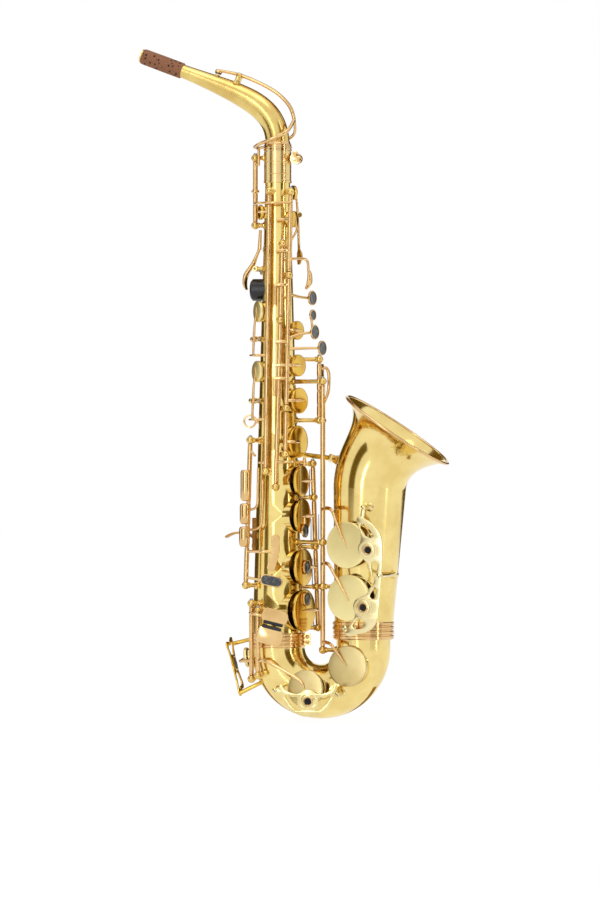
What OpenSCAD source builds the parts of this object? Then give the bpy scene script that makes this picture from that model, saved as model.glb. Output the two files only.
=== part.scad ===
// Alto saxophone: conical body tube, bow, bell, neck and key work.
// Heights are measured from the lowest point of the bow; the model is then
// moved so that its origin is the centre of the strap ring.

/* [Body tube] */
// Outer radius of the body tube under the neck receiver
body_top_r = 12.4; // [11.8:0.1:13]
// Outer radius of the body tube where it enters the bow
body_bottom_r = 25.5; // [24.5:0.1:26.2]
// Length of the body tube
body_h = 464; // [460:1:470]
// Thickness of the brass sheet
wall = 0.9; // [0.7:0.1:1.2]
// Height of a tone-hole chimney above the crown of its tube
chimney_h = 2.2; // [1.8:0.1:2.6]
// Wall of a tone-hole chimney
chimney_wall = 1; // [0.8:0.1:1.4]

/* [Bow and bell] */
// Bend radius of the bow along its centre line
bow_bend_r = 43.6; // [42:0.2:46]
// Outer radius of the bow tube
bow_r = 27.2; // [26.4:0.1:27.6]
// Straight leg of the bow below the bell
bow_leg_h = 13; // [10:0.5:14]
// Height of the clamp ring that joins the body to the bow
body_ring_h = 15; // [10:0.5:18]
// Height of the clamp ring that joins the bell to the bow
bell_ring_h = 18; // [14:0.5:20]
// Outer radius of the bell just above its ring
bell_bottom_r = 28.8; // [28:0.1:29.4]
// Outer radius of the bell where the flare starts
bell_throat_r = 36.2; // [34.5:0.1:37.5]
// Length of the conical part of the bell
bell_cone_h = 146; // [140:1:152]
// Lean of the bell away from the body tube, degrees
bell_lean = 2.5; // [1.5:0.1:3.5]
// Distance of the rim centre from the flare start, along the player's view
rim_out = 28; // [22:0.5:34]
// Height of the rim centre above the flare start
rim_up = 58; // [52:0.5:64]
// Radius of the bell rim
rim_r = 61.5; // [56:0.5:66]
// Tilt of the bell mouth, degrees
rim_tilt = 34; // [28:1:40]
// Radius of the rolled wire in the rim
rim_wire_r = 1.5; // [1.2:0.1:2]

/* [Neck] */
// Radius of the tenon, which turns in the receiver
tenon_r = 11.6; // [11.2:0.1:11.8]
// Length of the tenon
tenon_h = 24; // [18:1:28]
// Radial play of the tenon in the receiver
tenon_play = 0.05; // [0.02:0.01:0.1]
// Outer radius of the receiver
receiver_r = 13.6; // [13.2:0.1:14.2]
// Height of the receiver
receiver_h = 31; // [28:1:34]
// Height of the collar on the neck
collar_h = 7; // [5:0.5:9]
// Outer radius of the neck tube above the collar
neck_base_r = 12.2; // [11.8:0.1:12.8]
// Outer radius of the neck tube at the cork
neck_tip_r = 6.7; // [6.2:0.1:7]
// Radius of the cork sleeve, which the mouthpiece is pushed onto
cork_r = 8; // [7.6:0.1:8.6]
// Length of the cork sleeve
cork_h = 44; // [38:1:50]
// Slope of the straight end of the neck, degrees
neck_slope = 21; // [16:1:26]
// Reach of the neck from the tube axis to the cork's inner end
neck_reach = 98; // [90:1:106]
// Rise of the cork's inner end above the collar
neck_rise = 76; // [70:1:82]

/* [Key work] */
// Radius of a steel hinge rod
rod_r = 1.5; // [1.2:0.05:1.7]
// Radial play between a hinge rod and its tube
rod_play = 0.05; // [0.02:0.01:0.1]
// Outer radius of a hinge tube
tube_r = 2.4; // [2.1:0.05:2.6]
// Radius of the ball on a post
ball_r = 3.3; // [2.9:0.1:3.5]
// Radius of a post's stem
stem_r = 2; // [1.6:0.1:2.2]
// Radius of a key arm
arm_r = 1.2; // [0.9:0.05:1.4]
// Thickness of a pad
pad_t = 3.2; // [2.6:0.1:3.6]
// Air between a closed pad and its chimney
pad_air = 0.3; // [0.2:0.05:0.5]
// Land of the pad outside the bore of its tone hole
pad_land = 2.6; // [2.2:0.1:3]
// Thickness of the lid of a key cup
lid_t = 1.4; // [1:0.1:1.8]
// Radius of a finger pearl's holder
pearl_r = 7.4; // [6.5:0.1:7.8]
// Air left between two neighbours on one hinge line
end_air = 0.4; // [0.3:0.05:0.5]
// Opening angle of a stack key, degrees
stack_open = 7; // [5:0.5:8]
// Opening angle of a bell or bow key, degrees
bell_open = 9; // [6:0.5:10]

/* [Holding] */
// Height of the strap ring's centre
strap_z = 296.5; // [292:0.5:300]
// Radius of the hole in the strap ring
strap_hole_r = 5.2; // [4.8:0.1:5.6]
// Thickness of the strap ring along its hole
strap_t = 2.4; // [2:0.1:3]
// Width of the metal of the strap ring
strap_w = 1.7; // [1.4:0.1:2.2]
// Radius of the thumb rest
thumb_rest_r = 11; // [9:0.5:11.5]
// Height of the thumb rest off the tube
thumb_rest_h = 12; // [10:0.5:13]

/* [Hidden] */
$fn = 48;
brass = "#d8b552";
pale_brass = "#e6cf86";
rose_brass = "#c99a55";
steel = "#8f9499";
cork = "#b07a4e";
black = "#26262a";
eps = 0.01;

// Lengths along the instrument
bow_z = bow_bend_r + bow_r;
body_z = bow_z;
body_top = body_z + body_h;
receiver_top = body_top + receiver_h;
collar_top = receiver_top + collar_h;
bell_x = 2 * bow_bend_r;
bell_z = bow_z + bow_leg_h;
cup_t = pad_t + lid_t;
seat = chimney_h + pad_air;

// Points and directions
function polar(rho, theta, z) = [rho * cos(theta), rho * sin(theta), z];
function unit(v) = v / norm(v);
function radial(theta) = [cos(theta), sin(theta), 0];
function tangent(theta) = [-sin(theta), cos(theta), 0];
function body_r(z) = body_bottom_r + (body_top_r - body_bottom_r) * (z - body_z) / body_h;
function on_body(h, theta, z) = polar(body_r(z) + h, theta, z);
function bell_r(s) = bell_bottom_r + (bell_throat_r - bell_bottom_r) * s / bell_cone_h;
function lean(p) = [
    bell_x + p.x * cos(bell_lean) + p.z * sin(bell_lean),
    p.y,
    bell_z - p.x * sin(bell_lean) + p.z * cos(bell_lean)
];
function lean_dir(v) = lean(v) - lean([0, 0, 0]);
function on_line(line, z) = line[0] + (line[1] - line[0]) * (z - line[0].z) / (line[1].z - line[0].z);

// Hinge lines: top and bottom point of each, as height over the tube, angle and height above the bow
upper_line = [on_body(12, -46, 524.7), on_body(8, -62, 263.4)];
lower_line = [on_body(14.8, 15, 254), on_body(15.6, 18, 90)];
side_line = [on_body(5.6, -105, 526), on_body(5.6, -105, 246.5)];
front_line = [on_body(5, -63, 473), on_body(6, -82, 231)];
touch_line = [on_body(10.3, -143, 277.5), on_body(11.2, -143, 133)];
bell_line = [[48.5, -12, 336], [48.5, -12, 69]];
eb_line = [[-21.2, -25.3, 115], [-21.2, -25.3, 40]];
c_line = [[-13.4, -30.8, 108], [-13.4, -30.8, 44]];
table_line = [polar(42, 20, 358.5), polar(42, 20, 297.5)];
octave_line = [[-22.9, 0, 560], [-22.9, 0, 492.6]];

// Heights at which posts carry those lines
upper_posts = [524.7, 441.5, 309.3, 263.4];
lower_posts = [254, 220.3, 170.8, 131, 90];
side_posts = [526, 246.5];
front_posts = [473, 397, 231];
touch_posts = [277.5, 133];
bell_posts_on_body = [336, 176];
bell_posts_on_bell = [132, 69];
octave_posts = [560, 492.6];

// Tone holes of keys on those lines: height, angle about the tube, cup radius
fs_hole = [237, -20, 16];
f_hole = [202, -20, 17.6];
e_hole = [151, -22, 18.6];
d_hole = [108, -24, 21.4];
b_hole = [387, -20, 9.5];
a_hole = [352, -20, 11];
g_hole = [317, -20, 13];
gs_hole = [276, -22, 16.2];
high_e_hole = [505, -150, 7.5];
high_fs_hole = [498, -16, 8.2];

// Levers across the tube: height of the pivot, angle, height of the cup, height of the tail, cup radius
side_c_spot = [378.5, -146, 406, 361, 11];
side_bb_spot = [317, -142, 346, 297, 10.8];
palm_d_spot = [446, 123, 469, 411, 8.6];
palm_eb_spot = [495, 82, 518, 458, 7.5];
palm_f_spot = [503, 37, 525.5, 460, 7.4];
octave_spot = [449, 180];
lever_h = 6.5;
lever_half = 4;
lever_post = 7.6;

// Tone holes in the bell: distance up the cone, angle about it, cup radius
low_b_hole = [38, -97, 23];
low_bb_hole = [90, -102, 23];
// Tone holes in the bow: angle round the bend, cup radius, tip of the hole towards the inside of the bend
low_cs_spot = [-26, 20.3, 10];
low_c_spot = [-99, 18.5, 8];
low_eb_spot = [-172, 10, -90];

// Shared shapes
module facing(p, n) {
    translate(p) rotate([0, acos(n.z / norm(n)), atan2(n.y, n.x)]) children();
}
module rod(p, q, r) {
    facing(p, q - p) cylinder(h = norm(q - p), r = r);
}
module taper(p, q, r1, r2) {
    facing(p, q - p) cylinder(h = norm(q - p), r1 = r1, r2 = r2);
}
module ball(p, r) {
    translate(p) sphere(r);
}
// A bent rod: each straight stretch is a little thinner than the last, with a knuckle at the bend, a ball or a short pin
knuckle = 0.4;
thinner = 0.08;
module chain(points, r, pin = false) {
    for (i = [1:len(points) - 1]) rod(points[i - 1], points[i], r - (i - 1) * thinner);
    if (len(points) > 2)
        for (i = [1:len(points) - 2]) {
            across = unit(cross(points[i - 1] - points[i], points[i + 1] - points[i])) * (r + knuckle);
            if (pin) rod(points[i] - across, points[i] + across, r + knuckle);
            else ball(points[i], r + knuckle);
        }
}
module swing(line, angle) {
    translate(line[1]) rotate(a = angle, v = line[0] - line[1]) translate(-line[1]) children();
}
module at_bell() {
    translate([bell_x, 0, bell_z]) rotate([0, bell_lean, 0]) children();
}

// Body tube, with a chimney soldered over each tone hole
body_holes = concat(
    [fs_hole, f_hole, e_hole, d_hole, b_hole, a_hole, g_hole, gs_hole, high_e_hole, high_fs_hole],
    [for (s = [side_c_spot, side_bb_spot, palm_d_spot, palm_eb_spot, palm_f_spot]) [s[2], s[1], s[4]]]
);
module body_cone(grow, over) {
    translate([0, 0, body_z - over])
        cylinder(
            h = body_h + 2 * over,
            r1 = body_r(body_z - over) + grow,
            r2 = body_r(body_top + over) + grow
        );
}
module body_tube() color(brass) difference() {
    union() {
        body_cone(0, 0);
        for (h = body_holes)
            rod([0, 0, h[0]], on_body(chimney_h, h[1], h[0]), h[2] - pad_land + chimney_wall);
    }
    body_cone(-wall, 1);
    for (h = body_holes) rod([0, 0, h[0]], on_body(chimney_h + 1, h[1], h[0]), h[2] - pad_land);
}

// Neck receiver: a split sleeve with two lugs, drawn together by the neck screw
lug_z = receiver_top - 7;
lug_x = receiver_r + 5.5;
lug_r = 5.5;
lug_in = 0.8;
lug_out = 4.6;
screw_r = 1.9;
groove = 0.35;
module neck_receiver() color(brass) difference() {
    union() {
        translate([0, 0, body_top]) cylinder(h = receiver_h, r = receiver_r);
        for (side = [-1, 1])
            rod([lug_x, side * lug_in, lug_z], [lug_x, side * lug_out, lug_z], lug_r);
    }
    translate([0, 0, body_top - 1]) cylinder(h = receiver_h + 2, r = tenon_r + tenon_play);
    for (z = [body_top + receiver_h * 0.28, body_top + receiver_h * 0.67])
        translate([0, 0, z]) rotate_extrude() translate([receiver_r, 0]) circle(groove);
    translate([0, -lug_in, lug_z - lug_r - 1]) cube([2 * receiver_r, 2 * lug_in, receiver_h]);
    rod([lug_x, -2 * lug_out, lug_z], [lug_x, 2 * lug_out, lug_z], screw_r + rod_play);
}
head_r = 4.2;
module neck_screw() color(rose_brass) {
    rod([lug_x, -lug_out - 3, lug_z], [lug_x, lug_out + 2.5, lug_z], screw_r);
    rod([lug_x, -lug_out - 3, lug_z], [lug_x, -lug_out - end_air, lug_z], screw_r + 1.2);
    rod([lug_x, -lug_out - 7.5, lug_z], [lug_x, -lug_out - 3, lug_z], 1.6);
    translate([lug_x - 0.9, -lug_out - 11.4, lug_z]) rotate([0, 90, 0]) cylinder(h = 1.8, r = head_r);
}

// Bow: a half ring of tube with a short straight leg under the bell
function bow_point(angle) = [bow_bend_r * (1 + cos(angle)), 0, bow_z + bow_bend_r * sin(angle)];
function bow_normal(angle, tip) = cos(tip) * [0, -1, 0] - sin(tip) * [cos(angle), 0, sin(angle)];
low_cs_n = bow_normal(low_cs_spot[0], low_cs_spot[2]);
low_c_n = bow_normal(low_c_spot[0], low_c_spot[2]);
low_eb_n = bow_normal(low_eb_spot[0], low_eb_spot[2]);
module bend(r) {
    translate([bow_bend_r, 0, bow_z]) rotate([90, 0, 0]) rotate([0, 0, 180])
        rotate_extrude(angle = 180) translate([bow_bend_r, 0]) circle(r);
}
module bow_solid(r, over) {
    bend(r);
    translate([bell_x, 0, bow_z]) cylinder(h = bow_leg_h + over, r = r);
}
chimney_root = 0.62;
module bow() color(brass) difference() {
    union() {
        bow_solid(bow_r, 0);
        for (s = [low_cs_spot, low_c_spot, low_eb_spot])
            rod(
                bow_point(s[0]) + bow_normal(s[0], s[2]) * bow_r * chimney_root,
                bow_point(s[0]) + bow_normal(s[0], s[2]) * (bow_r + chimney_h),
                s[1] - pad_land + chimney_wall
            );
    }
    bow_solid(bow_r - wall, 1);
    for (s = [low_cs_spot, low_c_spot, low_eb_spot])
        rod(
            bow_point(s[0]) + bow_normal(s[0], s[2]) * bow_r * chimney_root,
            bow_point(s[0]) + bow_normal(s[0], s[2]) * (bow_r + chimney_h + 1),
            s[1] - pad_land
        );
}

// Bell: a cone with two tone holes, a flare and a rolled rim
module bell_cone(grow, over) {
    at_bell() translate([0, 0, -over])
        cylinder(h = bell_cone_h + 2 * over, r1 = bell_r(-over) + grow, r2 = bell_r(bell_cone_h + over) + grow);
}
module bell_tube() color(brass) difference() {
    union() {
        bell_cone(0, 0);
        at_bell() for (h = [low_b_hole, low_bb_hole])
            rod([0, 0, h[0]], polar(bell_r(h[0]) + chimney_h, h[1], h[0]), h[2] - pad_land + chimney_wall);
    }
    bell_cone(-wall, 1);
    at_bell() for (h = [low_b_hole, low_bb_hole])
        rod([0, 0, h[0]], polar(bell_r(h[0]) + chimney_h + 1, h[1], h[0]), h[2] - pad_land);
}
flare_sides = 48;
flare_rings = 16;
flare_curl = 5;
flare_from = lean([0, 0, bell_cone_h]);
flare_to = flare_from + [rim_out, 0, rim_up];
flare_reach = norm(flare_to - flare_from) / 2.6;
flare_bend = [
    flare_from,
    flare_from + lean_dir([0, 0, flare_reach]),
    flare_to - flare_reach * [sin(rim_tilt), 0, cos(rim_tilt)],
    flare_to
];
function bezier(b, t) =
    b[0] * pow(1 - t, 3) + 3 * b[1] * t * pow(1 - t, 2) + 3 * b[2] * t * t * (1 - t) + b[3] * pow(t, 3);
function bezier_dir(b, t) =
    unit((b[1] - b[0]) * pow(1 - t, 2) + 2 * (b[2] - b[1]) * t * (1 - t) + (b[3] - b[2]) * t * t);
function flare_r(t) =
    bell_throat_r + 2 * t + (rim_r - 2 * rim_wire_r - bell_throat_r - 2) * pow(t, flare_curl);
function ring(centre, dir, r, sides) = [
    for (i = [0:sides - 1])
        centre + r * cos(360 * i / sides) * [dir.z, 0, -dir.x] + [0, r * sin(360 * i / sides), 0]
];
function flare_ring(t, inset) = ring(bezier(flare_bend, t), bezier_dir(flare_bend, t), flare_r(t) - inset, flare_sides);
// Triangles of a closed sleeve: rings run up the outside and back down the inside
function sleeve_faces(rings, sides) = [
    for (j = [0:rings - 1], i = [0:sides - 1], half = [0, 1])
        let (
            a = j * sides + i,
            b = j * sides + (i + 1) % sides,
            c = ((j + 1) % rings) * sides + i,
            d = ((j + 1) % rings) * sides + (i + 1) % sides
        )
        half == 0 ? [a, c, b] : [b, c, d]
];
module sleeve(outside, inside, sides) {
    rings = concat(outside, [for (j = [len(inside) - 1:-1:0]) inside[j]]);
    polyhedron([for (r = rings) each r], sleeve_faces(len(rings), sides), convexity = 6);
}
module bell_flare() color(brass)
    sleeve(
        [for (j = [0:flare_rings]) flare_ring(j / flare_rings, 0)],
        [for (j = [0:flare_rings]) flare_ring(j / flare_rings, wall)],
        flare_sides
    );
module bell_rim_wire() color(rose_brass)
    facing(flare_to, [sin(rim_tilt), 0, cos(rim_tilt)])
        rotate_extrude() translate([rim_r - rim_wire_r, 0]) circle(rim_wire_r);

// Clamp rings that close the two joints of the bow, with turned ridges
ridge = 0.7;
ring_w = 1.2;
module clamp_ring(in_low, in_high, step, out, h) {
    rotate_extrude() polygon(concat(
        [[in_low, 0], [out - ridge, 0]],
        [for (i = [0:3], k = [0, 1, 2, 3]) [out - (k % 3 == 0 ? ridge : 0), h * (i + [0.1, 0.25, 0.75, 0.9][k]) / 4]],
        [[out - ridge, h], [in_high, h], [in_high, step], [in_low, step]]
    ));
}
body_ring_r = bow_r + ring_w;
bracket_w = 7;
bracket_h = 12;
bracket_t = 3;
module body_bow_ring() color(rose_brass) {
    difference() {
        union() {
            translate([0, 0, bow_z])
                clamp_ring(body_bottom_r + eps, body_bottom_r + eps, body_ring_h / 2, body_ring_r, body_ring_h);
            translate([body_ring_r - 1.5, -bracket_t, bow_z + 2]) cube([bracket_w, bracket_t, bracket_h]);
        }
        body_cone(eps, 0);
    }
    for (k = [0.27, 0.73])
        translate([body_ring_r + bracket_w / 2 - 1, -bracket_t, bow_z + 2 + bracket_h * k])
            rotate([90, 0, 0]) cylinder(h = 0.9, r = 1.9);
}
bell_ring_r = bell_bottom_r + ring_w + 0.8;
module bell_bow_ring() color(rose_brass) difference() {
    translate([bell_x, 0, bell_z - 4])
        clamp_ring(bow_r + eps, bow_r + eps, bell_ring_h / 2, bell_ring_r, bell_ring_h);
    bell_cone(eps, 0);
}

// Brace between body tube and bell, with a flared foot on the bell
brace_z = 264;
brace_t = 0.25;
brace_wall = bezier(flare_bend, brace_t)
    - (flare_r(brace_t) + eps) * [bezier_dir(flare_bend, brace_t).z, 0, -bezier_dir(flare_bend, brace_t).x];
brace_in = [bezier_dir(flare_bend, brace_t).z, 0, -bezier_dir(flare_bend, brace_t).x];
brace_r = 3.2;
brace_theta = 55;
brace_knee = brace_wall - brace_in * 7;
brace_post = polar(body_r(brace_z) + 4, brace_theta, brace_z);
brace_across = unit(cross(brace_in, brace_post - brace_knee)) * brace_r;
module bell_brace() color(brass) difference() {
    union() {
        taper(brace_wall, brace_knee, brace_r + 2.2, brace_r - 0.6);
        rod(brace_knee - brace_across, brace_knee + brace_across, brace_r);
        rod(brace_knee, brace_post, brace_r - 0.7);
        rod(brace_post - [0, 0, brace_r], brace_post + [0, 0, brace_r], brace_r);
        taper(polar(body_r(brace_z) - 2, brace_theta, brace_z), brace_post, brace_r + 2.2, brace_r - 0.6);
    }
    body_cone(eps, 0);
}

// Neck: a tapered bent tube on a turned tenon, with a cork sleeve
neck_sides = 40;
neck_rings = 18;
neck_end_dir = [-cos(neck_slope), 0, sin(neck_slope)];
neck_bend = [
    [0, 0, collar_top],
    [0, 0, collar_top + neck_rise * 0.6],
    [-neck_reach, 0, collar_top + neck_rise] - neck_end_dir * neck_reach * 0.66,
    [-neck_reach, 0, collar_top + neck_rise]
];
cork_lip = 1.5;
function neck_r(t) = neck_base_r + (neck_tip_r - neck_base_r) * t;
function neck_up(t) = let (d = bezier_dir(neck_bend, t)) [d.z, 0, -d.x];
function neck_ring(t, inset) = ring(bezier(neck_bend, t), bezier_dir(neck_bend, t), neck_r(t) - inset, neck_sides);
function neck_end_ring(inset) =
    ring(neck_bend[3] + neck_end_dir * (cork_h + cork_lip), neck_end_dir, neck_tip_r - inset, neck_sides);
module neck_tube() color(brass)
    sleeve(
        concat([for (j = [0:neck_rings]) neck_ring(j / neck_rings, 0)], [neck_end_ring(0)]),
        concat([for (j = [0:neck_rings]) neck_ring(j / neck_rings, wall)], [neck_end_ring(wall)]),
        neck_sides
    );
module neck_tenon() color(pale_brass) difference() {
    union() {
        translate([0, 0, receiver_top - tenon_h]) cylinder(h = tenon_h + collar_h / 2, r = tenon_r);
        translate([0, 0, receiver_top + end_air]) cylinder(h = collar_h - end_air, r = receiver_r);
    }
    translate([0, 0, receiver_top - tenon_h - 1]) cylinder(h = tenon_h + collar_h + 2, r = tenon_r - wall);
}
module neck_cork() color(cork) difference() {
    rod(neck_bend[3], neck_bend[3] + neck_end_dir * cork_h, cork_r);
    rod(neck_bend[3] - neck_end_dir, neck_bend[3] + neck_end_dir * (cork_h + 1), neck_tip_r + rod_play);
}

// Octave key of the neck, on a small saddle; its ring goes round the neck above the receiver
saddle_t = 0.66;
saddle_h = 7;
saddle_half = 5;
saddle_r = 1;
saddle_leg_r = 1.5;
saddle_seam = 0.1;  // lift of the legs and the vent, so that the widening neck stays clear of them
saddle = bezier(neck_bend, saddle_t) + neck_up(saddle_t) * (neck_r(saddle_t) + saddle_h);
vent_t = 0.8;
vent_h = 1.2;
vent_r = 3.4;
vent = bezier(neck_bend, vent_t) + neck_up(vent_t) * neck_r(vent_t);
ring_tip = [-23, 0, receiver_top + 4.2];
ring_top = [17, 0, receiver_top + 32];
octave_arch = [
    vent + neck_up(vent_t) * (vent_h + 4),
    saddle,
    [-17, 0, receiver_top + 68.5],
    [0.5, 0, receiver_top + 58],
    [12.5, 0, receiver_top + 45],
    ring_top
];
function ring_side(side) = [
    ring_top,
    [13, side * 17, receiver_top + 19],
    [0, side * 21.5, receiver_top + 12],
    [-14, side * 17.5, receiver_top + 7.2],
    [-21.5, side * 8, receiver_top + 4.7],
    ring_tip
];
module neck_saddle() color(brass) {
    difference() {
        for (side = [-1, 1]) {
            reach = sqrt(pow(neck_r(saddle_t), 2) - pow(saddle_half - saddle_leg_r, 2)) + saddle_seam;
            foot = bezier(neck_bend, saddle_t) + neck_up(saddle_t) * reach;
            rod(foot + [0, side * saddle_half, 0], saddle + [0, side * saddle_half, 0], saddle_leg_r);
            ball(saddle + [0, side * saddle_half, 0], 2.4);
        }
        rod(saddle - [0, 9, 0], saddle + [0, 9, 0], saddle_r + rod_play);
    }
    rod(saddle - [0, 6.5, 0], saddle + [0, 6.5, 0], saddle_r);
    rod(vent + neck_up(vent_t) * saddle_seam, vent + neck_up(vent_t) * vent_h, vent_r - 1.2);
}
module neck_octave_key() color(rose_brass) {
    difference() {
        union() {
            chain(octave_arch, arm_r, true);
            for (side = [-1, 1]) chain(ring_side(side), arm_r, true);
            rod(saddle - [0, 2.2, 0], saddle + [0, 2.2, 0], 2);
            facing(vent + neck_up(vent_t) * (vent_h + pad_air), neck_up(vent_t)) translate([0, 0, 1.6])
                cylinder(h = 2.6, r1 = vent_r, r2 = vent_r - 1);
        }
        rod(saddle - [0, 9, 0], saddle + [0, 9, 0], saddle_r + rod_play);
    }
    facing(vent + neck_up(vent_t) * (vent_h + pad_air), neck_up(vent_t)) cylinder(h = 1.55, r = vent_r - 0.4);
}

// Posts: a stem on the tube and a ball that the hinge rod runs through
function beyond(line, d) = [line[0] + unit(line[0] - line[1]) * d, line[1] - unit(line[0] - line[1]) * d];
module line_rod(line, d, r) {
    ends = beyond(line, d);
    rod(ends[0], ends[1], r);
}
module post(line, z, foot) {
    p = on_line(line, z);
    along = unit(line[0] - line[1]) * 2 * ball_r;
    difference() {
        union() {
            rod(foot, p, stem_r);
            ball(p, ball_r);
        }
        rod(p - along, p + along, rod_r + rod_play);
    }
}
// A post on a round tube: its stem starts flat on the tube's outside
function foot_on(centre, r, p) = centre + unit(p - centre) * r;
module body_post(line, z) {
    post(line, z, foot_on([0, 0, z], body_r(z), on_line(line, z)));
}
function bow_near(p) = [bow_bend_r, 0, bow_z] + unit([p.x - bow_bend_r, 0, p.z - bow_z]) * bow_bend_r;
rod_lines = [
    upper_line, lower_line, front_line, touch_line, bell_line, eb_line, c_line, octave_line, table_line
];
lever_spots = [side_c_spot, side_bb_spot, palm_d_spot, palm_eb_spot, palm_f_spot, octave_spot];
function lever_axle(spot, half) = let (p = on_body(lever_h, spot[1], spot[0]))
    [p + tangent(spot[1]) * half, p - tangent(spot[1]) * half];
barrel_half = 2.2;
module lever_posts(spot) {
    for (side = [-1, 1]) {
        e = on_body(lever_h, spot[1], spot[0]) + tangent(spot[1]) * lever_post * side;
        difference() {
            union() {
                rod(foot_on([0, 0, spot[0]], body_r(spot[0]), e), e, stem_r);
                rod(e - tangent(spot[1]) * barrel_half, e + tangent(spot[1]) * barrel_half, ball_r - 0.6);
            }
            line_rod(lever_axle(spot, lever_post), ball_r + 1, rod_r + rod_play);
        }
    }
}
module key_posts() color(brass) {
    for (z = upper_posts) body_post(upper_line, z);
    for (z = lower_posts) body_post(lower_line, z);
    for (z = side_posts) body_post(side_line, z);
    for (z = front_posts) body_post(front_line, z);
    for (z = touch_posts) body_post(touch_line, z);
    for (z = bell_posts_on_body) body_post(bell_line, z);
    body_post(octave_line, octave_posts[1]);
    post(octave_line, octave_posts[0], foot_on([0, 0, octave_posts[0]], receiver_r, octave_line[0]));
    for (l = [eb_line, c_line]) {
        body_post(l, l[0].z);
        post(l, l[1].z, foot_on(bow_near(l[1]), bow_r, l[1]));
    }
    for (p = table_line) body_post(table_line, p.z);
    for (s = lever_spots) lever_posts(s);
    bell_post = bell_posts_on_bell[0];
    leg_post = bell_posts_on_bell[1];
    post(
        bell_line, bell_post,
        foot_on(lean([0, 0, bell_post - bell_z]), bell_r(bell_post - bell_z), on_line(bell_line, bell_post))
    );
    post(bell_line, leg_post, foot_on([bell_x, 0, leg_post], bow_r, on_line(bell_line, leg_post)));
}
module hinge_rods() color(steel) {
    for (l = rod_lines) line_rod(l, ball_r - 0.6, rod_r);
    for (s = lever_spots) line_rod(lever_axle(s, lever_post), ball_r - 1.2, rod_r);
}

// Needle springs of blued steel, each set in a post and running beside its hinge tube
needle_r = 0.35;
needle_h = 26;
needle_off = 4.4;
module needle(line, z) {
    p = on_line(line, z) - unit([on_line(line, z).x, on_line(line, z).y, 0]) * needle_off;
    rod(p + [0, 0, stem_r - eps], p + [0, 0, stem_r + needle_h], needle_r);
}
module needle_springs() color("#2d3a55") {
    for (z = [lower_posts[1], lower_posts[2], lower_posts[3], lower_posts[4]]) needle(lower_line, z);
    for (z = [upper_posts[1], upper_posts[2], upper_posts[3]]) needle(upper_line, z);
    needle(bell_line, bell_posts_on_body[1]);
}

// Strap ring: a flat ring on a stub, square to the bow
strap_r = strap_hole_r + strap_w;
strap_x = -(body_r(strap_z) + 2.4 + strap_r);
strap_centre = [strap_x, 0, strap_z];
module strap_ring() color(rose_brass) difference() {
    union() {
        translate(strap_centre) rotate([90, 0, 0]) rotate_extrude() polygon([
            [strap_hole_r, -strap_t * 0.4], [strap_hole_r + 0.5, -strap_t / 2], [strap_r - 0.5, -strap_t / 2],
            [strap_r, -strap_t * 0.25], [strap_r, strap_t * 0.25], [strap_r - 0.5, strap_t / 2],
            [strap_hole_r + 0.5, strap_t / 2], [strap_hole_r, strap_t * 0.4]
        ]);
        rod([strap_x + strap_r - 0.6, 0, strap_z], [-body_r(strap_z) / 2, 0, strap_z], 1.1);
        taper([-body_r(strap_z) - 1.6, 0, strap_z], [-body_r(strap_z) / 2, 0, strap_z], 2.4, 6);
    }
    body_cone(eps, 0);
}

// Thumb rest of black resin, and the hook for the right thumb
thumb_rest_z = 428;
module thumb_rest() color(black) difference() {
    facing([0, 0, thumb_rest_z], [-1, 0, 0]) rotate_extrude() polygon([
        [0, 8], [thumb_rest_r - 1, 8], [thumb_rest_r, 9],
        [thumb_rest_r, body_r(thumb_rest_z) + thumb_rest_h - 2.5],
        [thumb_rest_r - 2, body_r(thumb_rest_z) + thumb_rest_h - 0.6],
        [0, body_r(thumb_rest_z) + thumb_rest_h]
    ]);
    body_cone(eps, 0);
}
hook_z = 184;
hook_w = 13;
hook_t = 2.2;
hook_bend_r = 23;
hook_from = 52;
hook_turn = 74;
module strip(points, t, w) {
    for (i = [1:len(points) - 1])
        facing(points[i - 1], points[i] - points[i - 1])
            translate([-t / 2, -w / 2, 0]) cube([t, w, norm(points[i] - points[i - 1])]);
    for (p = points) rod(p - [0, w / 2 + 0.1, 0], p + [0, w / 2 + 0.1, 0], t / 2 + 0.12);
}
module thumb_hook() color(rose_brass) difference() {
    union() {
        translate([-body_r(hook_z) - 2.4, -hook_w / 2, hook_z - 18]) cube([8, hook_w, 34]);
        translate([-body_r(hook_z) - 16, 0, hook_z - hook_bend_r]) rotate([90, 0, 0]) rotate([0, 0, hook_from])
            translate([0, 0, 0.5 - hook_w / 2]) rotate_extrude(angle = hook_turn)
                translate([hook_bend_r, 0]) square([hook_t, hook_w - 1]);
    }
    body_cone(eps, 0);
}

// Key cups with their pads, and finger pearls in their holders
cup_wall = 0.8;
pad_show = 1;
pad_slip = 0.05;
module cup(r) {
    rotate_extrude() polygon([
        [r - cup_wall, pad_show], [r, pad_show], [r, pad_t + 0.4], [r * 0.5, cup_t - 0.2], [0, cup_t],
        [0, pad_t], [r - cup_wall, pad_t]
    ]);
    cylinder(h = pad_t - pad_slip, r = r - cup_wall - pad_slip);
}
pearl_h = 3;
pearl_floor = 1.4;
pearl_rim = 0.9;
module pearl(p, n, r) {
    facing(p, n) {
        rotate_extrude() polygon([
            [0, 0], [r * 0.7, 0], [r, 1.2], [r, pearl_h], [r - pearl_rim, pearl_h],
            [r - pearl_rim, pearl_floor], [0, pearl_floor]
        ]);
        translate([0, 0, pearl_floor + pad_slip])
            cylinder(h = pearl_h - pearl_floor, r = r - pearl_rim - pad_slip);
    }
}
module body_cup(hole) {
    facing(on_body(seat, hole[1], hole[0]), radial(hole[1])) cup(hole[2]);
}
function cup_top(hole) = on_body(seat + cup_t - 0.5, hole[1], hole[0]);
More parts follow.
